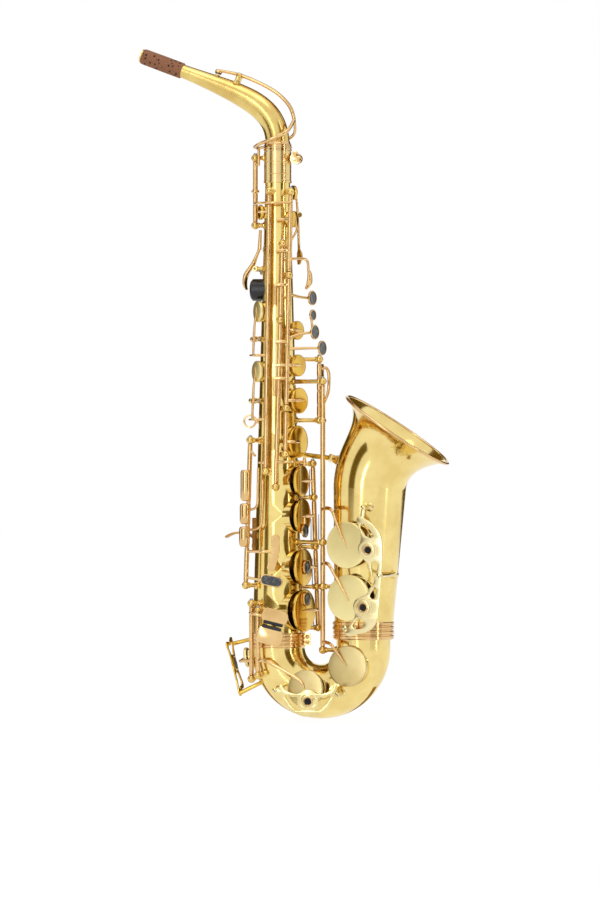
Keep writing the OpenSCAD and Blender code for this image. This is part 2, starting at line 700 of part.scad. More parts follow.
module key_on(line, low, high) {
    difference() {
        union() {
            rod(on_line(line, low), on_line(line, high), tube_r);
            children();
        }
        line_rod(line, ball_r, rod_r + rod_play);
    }
}
module arm(line, z, to) {
    taper(on_line(line, z), to, arm_r + 0.5, arm_r - 0.3);
    ball(to, arm_r);
}
// Room that a post's ball takes on its line
post_room = ball_r + end_air;

// Stack keys: cups that hang open on a hinge tube, most with a finger pearl
module stack_key(line, low, high, hole, sign, angle) {
    swing(line, sign * angle) key_on(line, low, high) {
        body_cup(hole);
        arm(line, min(max(hole[0], low + 2), high - 2), cup_top(hole));
        children();
    }
}
module fs_key() color(brass)
    stack_key(lower_line, lower_posts[1] + post_room, lower_posts[0] - post_room, fs_hole, 1, stack_open);
f_pearl_drop = 14.5;
module f_key() color(brass)
    stack_key(lower_line, lower_posts[2] + post_room, lower_posts[1] - post_room, f_hole, 1, stack_open) {
        pearl(on_body(seat + cup_t - 1, f_hole[1] - 4, f_hole[0] - f_pearl_drop), radial(f_hole[1]), pearl_r - 0.4);
        rod(cup_top(f_hole), on_body(seat + cup_t - 0.2, f_hole[1] - 4, f_hole[0] - f_pearl_drop), arm_r);
    }
module e_key() color(brass)
    stack_key(lower_line, lower_posts[3] + post_room, lower_posts[2] - post_room, e_hole, 1, stack_open)
        pearl(on_body(seat + cup_t - 0.6, e_hole[1], e_hole[0]), radial(e_hole[1]), pearl_r);
d_pearl_rise = 11.5;
module d_key() color(brass)
    stack_key(lower_line, lower_posts[4] + post_room, lower_posts[3] - post_room, d_hole, 1, stack_open)
        pearl(on_body(seat + cup_t - 1, d_hole[1], d_hole[0] + d_pearl_rise), radial(d_hole[1]), pearl_r);
front_f_low = upper_posts[1] + post_room;
b_low = 385;
c_low = 372.3;
a_low = 345;
pearl_b = polar(34.8, -12, 419);
pearl_c = polar(37.5, -12, 385);
pearl_bis = polar(35, -11, 402);
pearl_a = polar(46, -12, 369);
finger_n = radial(-14);
module b_key() color(brass)
    stack_key(upper_line, b_low, upper_posts[1] - post_room, b_hole, -1, stack_open) {
        arm(upper_line, pearl_b.z + 4, pearl_b);
        pearl(pearl_b, finger_n, pearl_r);
    }
module c_key() color(brass)
    swing(upper_line, -stack_open) key_on(upper_line, c_low, b_low - end_air) {
        arm(upper_line, (c_low + b_low) / 2, pearl_c);
        pearl(pearl_c, finger_n, pearl_r);
        rod(pearl_c, pearl_bis, arm_r);
        pearl(pearl_bis, finger_n, pearl_r - 1.8);
    }
module a_key() color(brass)
    stack_key(upper_line, a_low, c_low - end_air, a_hole, -1, stack_open) {
        arm(upper_line, c_low - 4, pearl_a);
        pearl(pearl_a, finger_n, pearl_r);
    }
module g_key() color(brass)
    stack_key(upper_line, upper_posts[2] + post_room, a_low - end_air, g_hole, -1, stack_open);
gs_elbow = on_body(12.5, -48, gs_hole[0]);
module gs_key() color(brass)
    key_on(upper_line, upper_posts[3] + post_room, upper_posts[2] - post_room) {
        body_cup(gs_hole);
        chain([on_line(upper_line, gs_hole[0]), gs_elbow, cup_top(gs_hole)], arm_r + 0.3);
    }

// Front F touch: a pointed plate worked by rolling the first finger
front_f_arm = 457.6;
front_f_tip = polar(33, -10, 438.5);
module front_f_key() color(rose_brass)
    key_on(upper_line, front_f_low, upper_posts[0] - post_room) {
        chain([on_line(upper_line, front_f_arm), polar(31, -12, front_f_arm), front_f_tip + [0, 0, 8]], arm_r);
        facing(front_f_tip - finger_n * 0.8, finger_n) {
            cylinder(h = 1.8, r = 4.6);
            translate([-9, -2.6, 0]) cube([9, 5.2, 1.8]);
            translate([-9, 0, 0]) cylinder(h = 1.8, r = 2.6);
        }
    }

// High F sharp, high E and the side keys
module high_fs_key() color(brass)
    key_on(front_line, front_posts[1] + post_room, front_posts[0] - post_room) {
        body_cup(high_fs_hole);
        chain([on_line(front_line, front_posts[0] - 9.5), cup_top(high_fs_hole) + [0, 0, -12], cup_top(high_fs_hole)], arm_r - 0.2);
    }
alt_fs_arm = 256;
module alt_fs_key() color(rose_brass)
    key_on(front_line, front_posts[2] + post_room, front_posts[1] - post_room) {
        chain([on_line(front_line, alt_fs_arm), on_body(15, -60, alt_fs_arm), on_body(14.5, -28, alt_fs_arm)], arm_r);
        rod(on_body(14.5, -28, alt_fs_arm - 4), on_body(14.5, -28, alt_fs_arm + 4), arm_r + 0.6);
    }
e_collar_low = side_posts[1] + post_room;
e_collar_high = e_collar_low + 11;
e_tail = on_body(7, -121, e_collar_low + 5);
bb_lever_high = 303;
c_lever_high = 366;
module high_e_key() color(rose_brass) {
    rod(on_line(side_line, e_collar_low), on_line(side_line, e_collar_high), tube_r);
    rod(on_line(side_line, side_posts[1] - 2), on_line(side_line, side_posts[0] + 2), rod_r);
    rod(on_line(side_line, c_lever_high + end_air), on_line(side_line, side_posts[0] - post_room), tube_r);
    taper(on_line(side_line, e_tail.z), e_tail, arm_r + 0.5, arm_r - 0.3);
    rod(e_tail - [0, 0, arm_r], e_tail + [0, 0, arm_r], arm_r);
    body_cup(high_e_hole);
    chain([on_line(side_line, high_e_hole[0]), on_body(10.5, -128, high_e_hole[0]), cup_top(high_e_hole)], arm_r, true);
}
tail_h = 9;
link_h = tail_h + 3.2;
module side_lever(low, high, spot) {
    key_on(side_line, low, high)
        chain([on_line(side_line, spot[3] + 1), on_body(link_h + 1.5, -124, spot[3] + 1), on_body(link_h, spot[1], spot[3] + 1)], arm_r, true);
}
module side_c_lever() color(rose_brass) side_lever(bb_lever_high + end_air, c_lever_high, side_c_spot);
module side_bb_lever() color(rose_brass) side_lever(e_collar_high + end_air, bb_lever_high, side_bb_spot);

// Cross levers: a cup above the pivot and a tail or touch below it
module lever_key(spot, tail_r) {
    axle = lever_axle(spot, lever_half);
    pivot = on_body(lever_h, spot[1], spot[0]);
    top = on_body(seat + cup_t - 0.5, spot[1], spot[2]);
    tail = on_body(tail_h, spot[1], spot[3]);
    difference() {
        union() {
            rod(axle[0], axle[1], tube_r);
            facing(on_body(seat, spot[1], spot[2]), radial(spot[1])) cup(spot[4]);
            taper(pivot, top, arm_r + 0.6, arm_r - 0.3);
            taper(pivot, tail, arm_r + 0.6, arm_r);
            ball(tail, arm_r + knuckle);
            if (tail_r > 0) facing(tail - radial(spot[1]), radial(spot[1])) {
                cylinder(h = 2.4, r = tail_r);
                translate([-tail_r * 1.4, -tail_r * 0.6, 0]) cube([tail_r * 1.4, tail_r * 1.2, 2.4]);
            }
        }
        line_rod(axle, lever_post, rod_r + rod_play);
    }
}
palm_r = 7;
module side_c_key() color(brass) lever_key(side_c_spot, 0);
module side_bb_key() color(brass) lever_key(side_bb_spot, 0);
module palm_d_key() color(brass) lever_key(palm_d_spot, palm_r);
module palm_eb_key() color(brass) lever_key(palm_eb_spot, palm_r);
module palm_f_key() color(brass) lever_key(palm_f_spot, palm_r);

// Touches of the three side keys, in one column on the right-hand line
barrel_r = 5.3;
barrel_out = 3;
module side_touch(low, high, from, to) {
    out = radial(-143) * barrel_out;
    key_on(touch_line, low, high) {
        rod(on_line(touch_line, from) + out, on_line(touch_line, to) + out, barrel_r);
        taper(on_line(touch_line, to) + out, on_line(touch_line, to + 2) + out, barrel_r, barrel_r - 1.6);
        taper(on_line(touch_line, from) + out, on_line(touch_line, from - 2) + out, barrel_r, barrel_r - 1.6);
        children();
    }
}
touch_e_low = 216;
touch_c_low = 193;
module side_e_touch() color(rose_brass)
    side_touch(touch_e_low, touch_posts[0] - post_room, touch_e_low + 3, 246)
        chain([on_line(touch_line, 268), on_body(9, -128, 262)], arm_r);
module side_c_touch() color(rose_brass)
    side_touch(touch_c_low, touch_e_low - end_air, touch_c_low + 3, touch_e_low - 3.4)
        chain([on_line(touch_line, 208), on_body(5.5, -128, 212), on_body(5.5, -126, 250)], arm_r);
touch_bb_low = 171;
module side_bb_touch() color(rose_brass)
    side_touch(touch_bb_low, touch_c_low - end_air, touch_bb_low + 2.4, touch_c_low - 3.4)
        chain([on_line(touch_line, 188), on_body(5, -122, 190.5), on_body(5, -114, 200), on_body(5, -113, 238)], arm_r);
// F sharp trill touch: a bent plate and an oval pearl on one short tube
trill_n = [sin(12), -cos(12), 0];
trill_top = [4.1, -29.8, 174];
trill_low = [1.6, -30.4, 157];
trill_pearl = [0.3, -30.6, 138];
trill_w = 8.4;
trill_t = 1.6;
oval_r = 5.6;
oval_half = 5.8;
module fs_trill_touch() color(rose_brass)
    key_on(touch_line, touch_posts[1] + post_room, touch_bb_low - end_air) {
        facing(trill_top, trill_n) translate([-10, -trill_w / 2, 0]) cube([20, trill_w, trill_t]);
        facing(trill_low, trill_n) rotate([0, 0, -17])
            translate([-9.5, -trill_w / 2, 0.1]) cube([19, trill_w, trill_t]);
        rod(on_line(touch_line, 167), [1.2, -31, 167], arm_r + 0.3);
        facing(trill_pearl, trill_n) rotate([0, 0, -12]) {
            for (side = [-1, 1]) translate([0, side * oval_half, 0]) cylinder(h = 2.8, r = oval_r);
            translate([-oval_r, -oval_half, 0]) cube([2 * oval_r, 2 * oval_half, 2.8]);
        }
        rod(on_line(touch_line, 141), [-3, -31.8, 138.3], arm_r + 0.2);
    }

// Octave mechanism: thumb lever and rocker, with the pin that works the neck key
octave_pivot = on_body(lever_h, 180, octave_spot[0]);
octave_w = 9;
octave_t = 2.6;
lever_path = [
    octave_pivot + [3.6, 0, 39], octave_pivot + [2.6, 0, 20], octave_pivot + [-4.4, 0, 4], octave_pivot + [-11, 0, -6],
    octave_pivot + [-12.2, 0, -15], octave_pivot + [-10.4, 0, -21]
];
module octave_lever() color(rose_brass) difference() {
    union() {
        strip([lever_path[1], lever_path[2], lever_path[3], lever_path[4], lever_path[5]], octave_t, octave_w);
        rod(lever_path[0], lever_path[1], 1.6);
        rod(lever_axle(octave_spot, lever_half)[0], lever_axle(octave_spot, lever_half)[1], tube_r + 0.4);
        strip([octave_pivot, lever_path[2]], octave_t, 5);
    }
    line_rod(lever_axle(octave_spot, lever_half), lever_post, rod_r + rod_play);
}
octave_bar_z = 513.5;
octave_pin = [-18.3, -5, octave_posts[0] - 7];
octave_bar = [[-22.9, 0, octave_bar_z], [-18, -19, octave_bar_z], [-3, -26.5, octave_bar_z], [18, -24.5, octave_bar_z]];
module octave_rocker() color(rose_brass)
    key_on(octave_line, octave_posts[1] + post_room, octave_posts[0] - post_room) {
        rod(on_line(octave_line, octave_pin.z), octave_pin, arm_r);
        rod(octave_pin - [0, 0, arm_r], [octave_pin.x, octave_pin.y, receiver_top + 4.2], arm_r + thinner);
        chain(octave_bar, arm_r, true);
        ball(on_line(octave_line, 526.6), tube_r + 1.5);
    }

// Low keys on the bow: E flat stands closed, C stands open; both have a roller spatula
camera_n = [sin(12), -cos(12), 0];
spatula_t = 2;
roller_r = 1.6;
module bow_cup(spot, n) {
    facing(bow_point(spot[0]) + n * (bow_r + seat), n) cup(spot[1]);
}
function bow_cup_top(spot, n) = bow_point(spot[0]) + n * (bow_r + seat + cup_t - 0.5);
spatula_tilt = 14;
module spatula(centre, w, h, roller_side) {
    facing(centre, camera_n) rotate([0, 0, -spatula_tilt]) {
        translate([-h / 2 + 3, -w / 2, 0]) cube([h - 6, w, spatula_t]);
        translate([-h / 2, -w / 2 + 3, 0]) cube([h, w - 6, spatula_t]);
        for (x = [-1, 1], y = [-1, 1]) translate([x * (h / 2 - 3), y * (w / 2 - 3), 0]) cylinder(h = spatula_t, r = 3);
        translate([-roller_side * h / 2, 0, spatula_t / 2]) rotate([90, 0, 0])
            translate([0, 0, -w * 0.38]) cylinder(h = w * 0.76, r = roller_r);
    }
}
eb_plate = [5.6, -38.7, 103];
c_plate = [1.8, -37.4, 83.5];
plate_w = 26;
eb_arm = 58;
module low_eb_key() color(brass)
    key_on(eb_line, eb_line[1].z + post_room, eb_line[0].z - post_room) {
        bow_cup(low_eb_spot, low_eb_n);
        chain([on_line(eb_line, eb_arm), [-35, -14, eb_arm - 1], bow_cup_top(low_eb_spot, low_eb_n)], arm_r, true);
        chain([on_line(eb_line, 106), [-20, -39, 106], [-5, -40, eb_plate.z]], arm_r + 0.2, true);
        spatula(eb_plate, plate_w, 14, -1);
    }
c_arm = 58;
module low_c_key() color(brass)
    swing(c_line, -bell_open) key_on(c_line, c_line[1].z + post_room, c_line[0].z - post_room) {
        bow_cup(low_c_spot, low_c_n);
        chain([on_line(c_line, c_arm), [-1, -36.5, c_arm], bow_cup_top(low_c_spot, low_c_n)], arm_r + 0.2, true);
        chain([on_line(c_line, c_plate.z), [-7, -39.7, c_plate.z]], arm_r + 0.2);
        spatula(c_plate, plate_w, 17, 1);
    }

// Bell keys: C sharp stands closed, B and B flat stand open
function bell_cup_top(hole) = lean(polar(bell_r(hole[0]) + seat + cup_t - 0.5, hole[1], hole[0]));
function bell_elbow(hole, side, z) =
    let (n = lean_dir(radial(hole[1])), t = tangent(hole[1]))
    let (p = lean([0, 0, z - bell_z]) + n * (bell_r(hole[0]) + seat + cup_t + 0.8) + t * side)
    [p.x, p.y, z];
module bell_cup(hole) {
    facing(lean(polar(bell_r(hole[0]) + seat, hole[1], hole[0])), lean_dir(radial(hole[1]))) cup(hole[2]);
}
bb_arm = 209;
b_arm = 154.5;
cs_arm = 77;
link_ball_z = 297;
module low_bb_key() color(brass)
    swing(bell_line, -bell_open)
        key_on(bell_line, bell_posts_on_body[1] + post_room, bell_posts_on_body[0] - post_room) {
            bell_cup(low_bb_hole);
            chain([on_line(bell_line, bb_arm), bell_elbow(low_bb_hole, -18, bb_arm), bell_cup_top(low_bb_hole)], arm_r + 0.3);
            ball(on_line(bell_line, link_ball_z), ball_r + 0.2);
        }
module low_b_key() color(brass)
    swing(bell_line, -bell_open)
        key_on(bell_line, bell_posts_on_bell[0] + post_room, bell_posts_on_body[1] - post_room) {
            bell_cup(low_b_hole);
            chain([on_line(bell_line, b_arm), bell_elbow(low_b_hole, -22, b_arm), bell_cup_top(low_b_hole)], arm_r + 0.3);
        }
module low_cs_key() color(brass)
    key_on(bell_line, bell_posts_on_bell[1] + post_room, bell_posts_on_bell[0] - post_room) {
        bow_cup(low_cs_spot, low_cs_n);
        chain([on_line(bell_line, cs_arm), [61, -34.5, cs_arm - 1], bow_cup_top(low_cs_spot, low_cs_n)], arm_r + 0.3);
    }

// Left-hand table: four touches on one line at the far side of the tube
table_cuts = [table_line[1].z + post_room, 313, 327, 341, table_line[0].z - post_room];
table_theta = 0;
table_n = radial(table_theta);
table_w = 16;
module table_touch(i, reach) {
    low = table_cuts[i];
    high = table_cuts[i + 1] - end_air;
    mid = (low + high) / 2;
    key_on(table_line, low, high)
        facing(on_line(table_line, mid) + tangent(table_theta) * (reach + table_w / 2) - table_n, table_n) {
            translate([-(high - low) / 2, -table_w / 2, 0]) cube([high - low, table_w, 2]);
            translate([-2, -table_w / 2 - reach, 0]) cube([4, reach + 1, 2]);
        }
}
module bb_touch() color(rose_brass) table_touch(0, 4);
module b_touch() color(rose_brass) table_touch(1, 4);
module cs_touch() color(rose_brass) table_touch(2, 4);
gs_lever = [[45.9, 17.7, 350], [48.5, 18.3, 343], [47.8, 18.1, 326], [43.3, 17.1, 313]];
module gs_touch() color(rose_brass) {
    table_touch(3, 4);
    chain(concat([[41.5, 16.5, 349]], gs_lever), arm_r + 0.4);
}

// Key guards: cut plates on feet, each with a ring for its felt bumper
guard_t = 1.6;
guard_hole_r = 5.4;
guard_ring_r = 9.5;
bar_w = 4.6;
module bar2(p, q, w) {
    translate(p) rotate(atan2(q.y - p.y, q.x - p.x)) translate([0, -w / 2]) square([norm(q - p), w]);
    translate(p) circle(w / 2);
    translate(q) circle(w / 2);
}
module path2(points, w) {
    for (i = [1:len(points) - 1]) bar2(points[i - 1], points[i], w);
}
guard_theta = -99.5;
guard_h = 51;
bb_stop = [17.5, 87];
b_stop = [14.5, 35];
bb_bars = [[29.8, 95], [30.5, 79]];
b_bars = [[29.2, 43], [23.6, 27.4]];
guard_path = [[13.4, 128], [23, 119], [29.5, 104], [31.5, 84], [31.5, 58], [29, 36], [20, 19], [0, 9]];
guard_feet = [[13.4, 128], [33, 62], [0, 9]];
module at_guard() {
    at_bell() rotate([0, 0, guard_theta]) translate([guard_h, 0, 0]) rotate([90, 0, 90]) children();
}
module bell_key_guard() color(pale_brass) difference() {
    union() {
        at_guard() linear_extrude(guard_t) difference() {
            union() {
                path2(guard_path, bar_w);
                for (s = [bb_stop, b_stop]) translate(s) circle(guard_ring_r);
                for (q = bb_bars) bar2(bb_stop, q, bar_w);
                for (q = b_bars) bar2(b_stop, q, bar_w);
                bar2(bb_stop, guard_path[0], bar_w);
                bar2(b_stop, [0, 9], bar_w);
            }
            for (s = [bb_stop, b_stop]) translate(s) circle(guard_hole_r);
        }
        at_guard() for (f = guard_feet) translate([f.x, f.y, -guard_h / 2]) cylinder(h = guard_h / 2 + guard_t / 2, r = 2);
        at_guard() translate([33, 62, 0]) linear_extrude(guard_t) bar2([0, 0], [-2, 0], bar_w);
    }
    bell_cone(eps, 0);
    translate([bell_x, 0, bell_z - 4]) cylinder(h = bell_ring_h, r = bell_ring_r + eps);
}
bow_guard_y = 47;
c_stop = [40.9, 20];
bow_guard_c = [41, 31];
bow_guard_r = 28;
bow_feet = [[7.5, 30.5], [70.5, 27.2]];
module at_bow_guard() {
    translate([0, -bow_guard_y, 0]) rotate([90, 0, 0]) children();
}
module bow_key_guard() color(pale_brass) difference() {
    union() {
        at_bow_guard() linear_extrude(guard_t) difference() {
            union() {
                intersection() {
                    difference() {
                        translate(bow_guard_c) circle(bow_guard_r);
                        translate(bow_guard_c) circle(bow_guard_r - bar_w - 1);
                    }
                    translate(bow_guard_c - [bow_guard_r, 2 * bow_guard_r]) square(2 * bow_guard_r);
                }
                translate(c_stop) circle(guard_ring_r);
                for (side = [-1, 1]) bar2(c_stop, bow_guard_c + [side * (bow_guard_r - 2.8), -4.5], bar_w);
                bar2(bow_feet[0], bow_guard_c + [2.8 - bow_guard_r, -4], bar_w);
                bar2(bow_feet[1], bow_guard_c + [bow_guard_r - 2.8, -4], bar_w);
            }
            translate(c_stop) circle(guard_hole_r);
        }
        for (f = bow_feet)
            translate([f.x, 0, f.y]) rotate([90, 0, 0]) cylinder(h = bow_guard_y + guard_t / 2, r = 2);
    }
    bow_solid(bow_r + eps, 0);
}
eb_guard_h = 47;
eb_guard_tilt = 14;
eb_frame = [[-13, 20], [13, 24], [15, -22], [-8, -30], [-13, 20]];
module at_eb_guard() {
    translate(bow_point(low_eb_spot[0])) rotate([0, -eb_guard_tilt, 0]) children();
}
module eb_plate_at() {
    at_eb_guard() translate([-eb_guard_h, 0, 0]) rotate([90, 0, 90]) children();
}
module eb_key_guard() color(brass) difference() {
    union() {
        eb_plate_at() linear_extrude(guard_t) difference() {
            union() {
                path2(eb_frame, bar_w);
                circle(guard_ring_r);
                bar2([-11, 0], [14, 0], bar_w);
            }
            circle(guard_hole_r);
        }
        at_eb_guard() rod([-eb_guard_h + eps, 13, 20], [-18, 13, 20], 2);
        at_eb_guard() rod([-eb_guard_h + eps, -8, -30], [10, -4, -17], 2);
    }
    bow_solid(bow_r + eps, 0);
    translate([0, 0, bow_z]) cylinder(h = body_ring_h, r = body_ring_r + eps);
}
felt_show = 0.8;
module bumper() {
    translate([0, 0, -felt_show]) cylinder(h = felt_show + guard_t + 2, r = guard_hole_r - rod_play);
}
module guard_bumpers() color(black) {
    at_guard() for (s = [bb_stop, b_stop]) translate([s.x, s.y, 0]) bumper();
    at_bow_guard() translate([c_stop.x, c_stop.y, 0]) bumper();
    eb_plate_at() mirror([0, 0, 1]) translate([0, 0, -guard_t]) bumper();
}

module placed() {
    translate(-strap_centre) children();
}
placed() body_tube();
placed() neck_receiver();
placed() bow();
placed() bell_tube();
placed() bell_flare();
placed() bell_rim_wire();
placed() body_bow_ring();
placed() bell_bow_ring();
placed() bell_brace();
placed() key_posts();
placed() hinge_rods();
placed() strap_ring();
placed() thumb_rest();
placed() thumb_hook();
placed() bell_key_guard();
placed() bow_key_guard();
placed() eb_key_guard();
placed() guard_bumpers();
placed() needle_springs();
placed() neck_tube();
placed() neck_tenon();
placed() neck_cork();
placed() neck_saddle();
placed() neck_octave_key();
placed() neck_screw();
placed() octave_lever();
placed() octave_rocker();
placed() high_e_key();
placed() side_e_touch();
placed() side_c_touch();
placed() side_c_lever();
placed() side_c_key();
placed() side_bb_touch();
placed() fs_trill_touch();
placed() side_bb_lever();
placed() side_bb_key();
placed() high_fs_key();
placed() alt_fs_key();
placed() front_f_key();
placed() b_key();
placed() c_key();
placed() a_key();
placed() g_key();
placed() gs_key();
placed() fs_key();
placed() f_key();
placed() e_key();
placed() d_key();
placed() low_eb_key();
placed() low_c_key();
placed() low_cs_key();
placed() low_b_key();
placed() low_bb_key();
placed() palm_d_key();
placed() palm_eb_key();
placed() palm_f_key();
placed() gs_touch();
placed() cs_touch();
placed() b_touch();
placed() bb_touch();
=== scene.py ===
import bpy
import bmesh
import math
from mathutils import Matrix, Vector


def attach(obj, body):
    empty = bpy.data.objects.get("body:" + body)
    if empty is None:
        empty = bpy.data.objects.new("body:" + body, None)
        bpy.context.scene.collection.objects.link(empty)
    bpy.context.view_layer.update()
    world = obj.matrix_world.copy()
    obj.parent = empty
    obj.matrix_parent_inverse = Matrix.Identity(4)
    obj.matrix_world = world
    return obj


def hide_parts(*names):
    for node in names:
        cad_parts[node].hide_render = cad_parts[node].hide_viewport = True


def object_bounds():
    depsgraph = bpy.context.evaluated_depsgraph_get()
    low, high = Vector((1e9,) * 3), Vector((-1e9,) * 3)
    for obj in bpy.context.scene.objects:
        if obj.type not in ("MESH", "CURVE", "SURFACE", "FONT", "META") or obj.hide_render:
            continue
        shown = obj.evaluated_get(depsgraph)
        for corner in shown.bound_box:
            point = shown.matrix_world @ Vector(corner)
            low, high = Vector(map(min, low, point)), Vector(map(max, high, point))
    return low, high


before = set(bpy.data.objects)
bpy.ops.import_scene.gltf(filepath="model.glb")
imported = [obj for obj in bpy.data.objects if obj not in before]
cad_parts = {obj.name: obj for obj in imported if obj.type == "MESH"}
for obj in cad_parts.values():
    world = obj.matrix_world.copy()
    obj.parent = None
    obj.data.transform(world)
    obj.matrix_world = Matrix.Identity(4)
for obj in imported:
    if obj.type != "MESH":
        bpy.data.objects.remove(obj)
cad_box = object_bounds()

# Studio: a white sweep that the camera and the polished metal see, tall soft boxes left and right, and dark cards
# beside them, as a photographer sets them for metal, so that round brass has dark edges to mirror.
PHOTO_TURN = math.radians(12)
CAMERA_AWAY = 3.8
PHOTO_TALL = 0.9
SENSOR = 36.0
MIDDLE_RIGHT, MIDDLE_UP = 0.0223, 0.2678
STRAP_RING = Vector((-28.4279, 0, 296.5))


def aloft(z):
    """A step straight up."""
    return Vector((0, 0, z))


right = Vector((math.cos(PHOTO_TURN), math.sin(PHOTO_TURN), 0))
toward = Vector((math.sin(PHOTO_TURN), -math.cos(PHOTO_TURN), 0))
middle = right * MIDDLE_RIGHT + aloft(MIDDLE_UP) - STRAP_RING / 1000
camera = bpy.data.cameras.new("photo_camera")
camera.sensor_fit = "VERTICAL"
camera.sensor_height = SENSOR
camera.lens = SENSOR * CAMERA_AWAY / PHOTO_TALL
tripod = bpy.data.objects.new("photo_camera", camera)
tripod.location = middle + toward * CAMERA_AWAY
tripod.rotation_euler = (math.pi / 2, 0, PHOTO_TURN)
scene = bpy.context.scene
scene.collection.objects.link(tripod)
scene.camera = tripod
scene.view_settings.view_transform = "Standard"


def lin(code):
    """An sRGB hex colour as the linear colour that the shaders take."""
    part = [int(code[i:i + 2], 16) / 255 for i in (1, 3, 5)]
    return [c / 12.92 if c <= 0.04045 else ((c + 0.055) / 1.055) ** 2.4 for c in part] + [1.0]


def add(tree, kind, values=None, links=None, **settings):
    """One node with its settings, its socket values and the sockets that feed it."""
    made = tree.nodes.new(kind)
    for key, value in settings.items():
        setattr(made, key, value)
    for key, value in (values or {}).items():
        made.inputs[key].default_value = value
    for key, (source, out) in (links or {}).items():
        tree.links.new(source.outputs[out], made.inputs[key])
    return made


def mirror_share(tree):
    """One to the camera, to mirrors and through glass, and nought to matt pieces."""
    rays = add(tree, "ShaderNodeLightPath")
    pair = {0: (rays, "Is Camera Ray"), 1: (rays, "Is Glossy Ray")}
    seen = add(tree, "ShaderNodeMath", links=pair, operation="MAXIMUM")
    return add(tree, "ShaderNodeMath", links={0: (seen, 0), 1: (rays, "Is Transmission Ray")}, operation="MAXIMUM")


# The air is white to the camera and to mirrors, and a soft grey where it lights matt pieces
WHITE = "#FFFFFF"
FILL = 0.55
world = bpy.data.worlds.new("studio_air")
scene.world = world
world.use_nodes = True
air = world.node_tree
air.nodes.clear()
level = add(air, "ShaderNodeMath", {1: FILL}, {0: (mirror_share(air), 0)}, operation="MAXIMUM")
glow = add(air, "ShaderNodeBackground", {"Color": lin(WHITE)}, {"Strength": (level, 0)})
add(air, "ShaderNodeOutputWorld", links={"Surface": (glow, 0)})

# Soft boxes: place to the right, towards the camera and up, then width, height and power
for name, aside, near, above, wide, tall, power in (
    ("left_box", -0.8, 1.8, 0.25, 0.16, 1.9, 4.6), ("right_box", 1.5, 1.0, 0.3, 0.14, 1.9, 4.2),
    ("top_box", 0, 0.5, 1.7, 1.2, 0.9, 3.5),
):
    lamp = bpy.data.lights.new(name, "AREA")
    lamp.shape = "RECTANGLE"
    lamp.size, lamp.size_y = wide, tall
    lamp.energy = power
    stand = bpy.data.objects.new(name, lamp)
    step = right * aside + toward * near + aloft(above)
    stand.matrix_world = Matrix.Translation(middle + step) @ (-step).to_track_quat("-Z", "Y").to_matrix().to_4x4()
    scene.collection.objects.link(stand)


def card(name, spot, aim, wide, tall, matter):
    """A flat card facing the instrument."""
    bm = bmesh.new()
    bmesh.ops.create_grid(bm, x_segments=1, y_segments=1, size=0.5)
    bmesh.ops.scale(bm, vec=(wide, tall, 1), verts=bm.verts)
    turn = (aim - spot).to_track_quat("-Z", "Y").to_matrix().to_4x4()
    bmesh.ops.transform(bm, matrix=Matrix.Translation(spot) @ turn, verts=bm.verts)
    mesh = bpy.data.meshes.new(name)
    bm.to_mesh(mesh)
    bm.free()
    mesh.materials.append(matter)
    board = bpy.data.objects.new(name, mesh)
    scene.collection.objects.link(board)
    return board


def toned_card(name, spot, aim, wide, tall, tone):
    """A card in a toned colour that glows and that only mirrors see; its fibres are a quarter darker."""
    matter = bpy.data.materials.new(name + "_paper")
    matter.use_nodes = True
    tree = matter.node_tree
    dark = [0.75 * c for c in lin(tone)[:3]] + [1.0]
    fibre = add(tree, "ShaderNodeTexNoise", {"Scale": 400.0, "Detail": 2.0})
    shade = add(tree, "ShaderNodeMix", {6: lin(tone), 7: dark}, {0: (fibre, "Fac")}, data_type="RGBA")
    glow = add(tree, "ShaderNodeEmission", {"Strength": 0.9}, {"Color": (shade, 2)})
    tree.links.new(glow.outputs[0], tree.nodes["Material Output"].inputs["Surface"])
    board = card(name, spot, aim, wide, tall, matter)
    for view in ("visible_camera", "visible_diffuse", "visible_shadow", "visible_transmission"):
        setattr(board, view, False)


# Dark olive and brown papers on the cards, which the brass mirrors as bands along its tubes
CARD_AWAY = 2.4
for name, swing, rise, span, tall, tone in (
    ("card_right", 50, 0, 44, 3.2, "#745A18"), ("card_left", -60, 0, 22, 3.2, "#7C641E"),
    ("card_left_back", -136, 0, 52, 3.2, "#624A12"), ("card_right_back", 146, 0, 40, 3.2, "#6A5214"),
    ("card_high_back", 180, 46, 76, 1.5, "#7A5E1A"),
):
    turn, tilt = math.radians(swing), math.radians(rise)
    level = toward * math.cos(turn) + right * math.sin(turn)
    spot = middle + (level * math.cos(tilt) + aloft(math.sin(tilt))) * CARD_AWAY
    toned_card(name, spot, middle, 2 * CARD_AWAY * math.tan(math.radians(span / 2)), tall, tone)

# Floor: white paper under the bow. It glows white to the camera and to mirrors, and its matt share takes the shadow.
PAPER_GLOW, PAPER_WHITE = 0.86, 1.09
FLOOR_WIDE, FLOOR_GAP = 16, 0.0015
paper = bpy.data.materials.new("white_paper")
paper.use_nodes = True
sheet = paper.node_tree
sheet.nodes.clear()
share = add(sheet, "ShaderNodeMath", {1: PAPER_GLOW}, {0: (mirror_share(sheet), 0)}, operation="MULTIPLY")
matt = add(sheet, "ShaderNodeBsdfDiffuse", {"Color": lin("#F4F4F2")})
white = add(sheet, "ShaderNodeEmission", {"Color": lin(WHITE), "Strength": PAPER_WHITE})
mixed = add(sheet, "ShaderNodeMixShader", links={0: (share, 0), 1: (matt, 0), 2: (white, 0)})
add(sheet, "ShaderNodeOutputMaterial", links={"Surface": (mixed, 0)})
floor_spot = Vector((middle.x, 0, cad_box[0][2] - FLOOR_GAP))
card("paper_floor", floor_spot, floor_spot - aloft(1), FLOOR_WIDE, FLOOR_WIDE, paper)
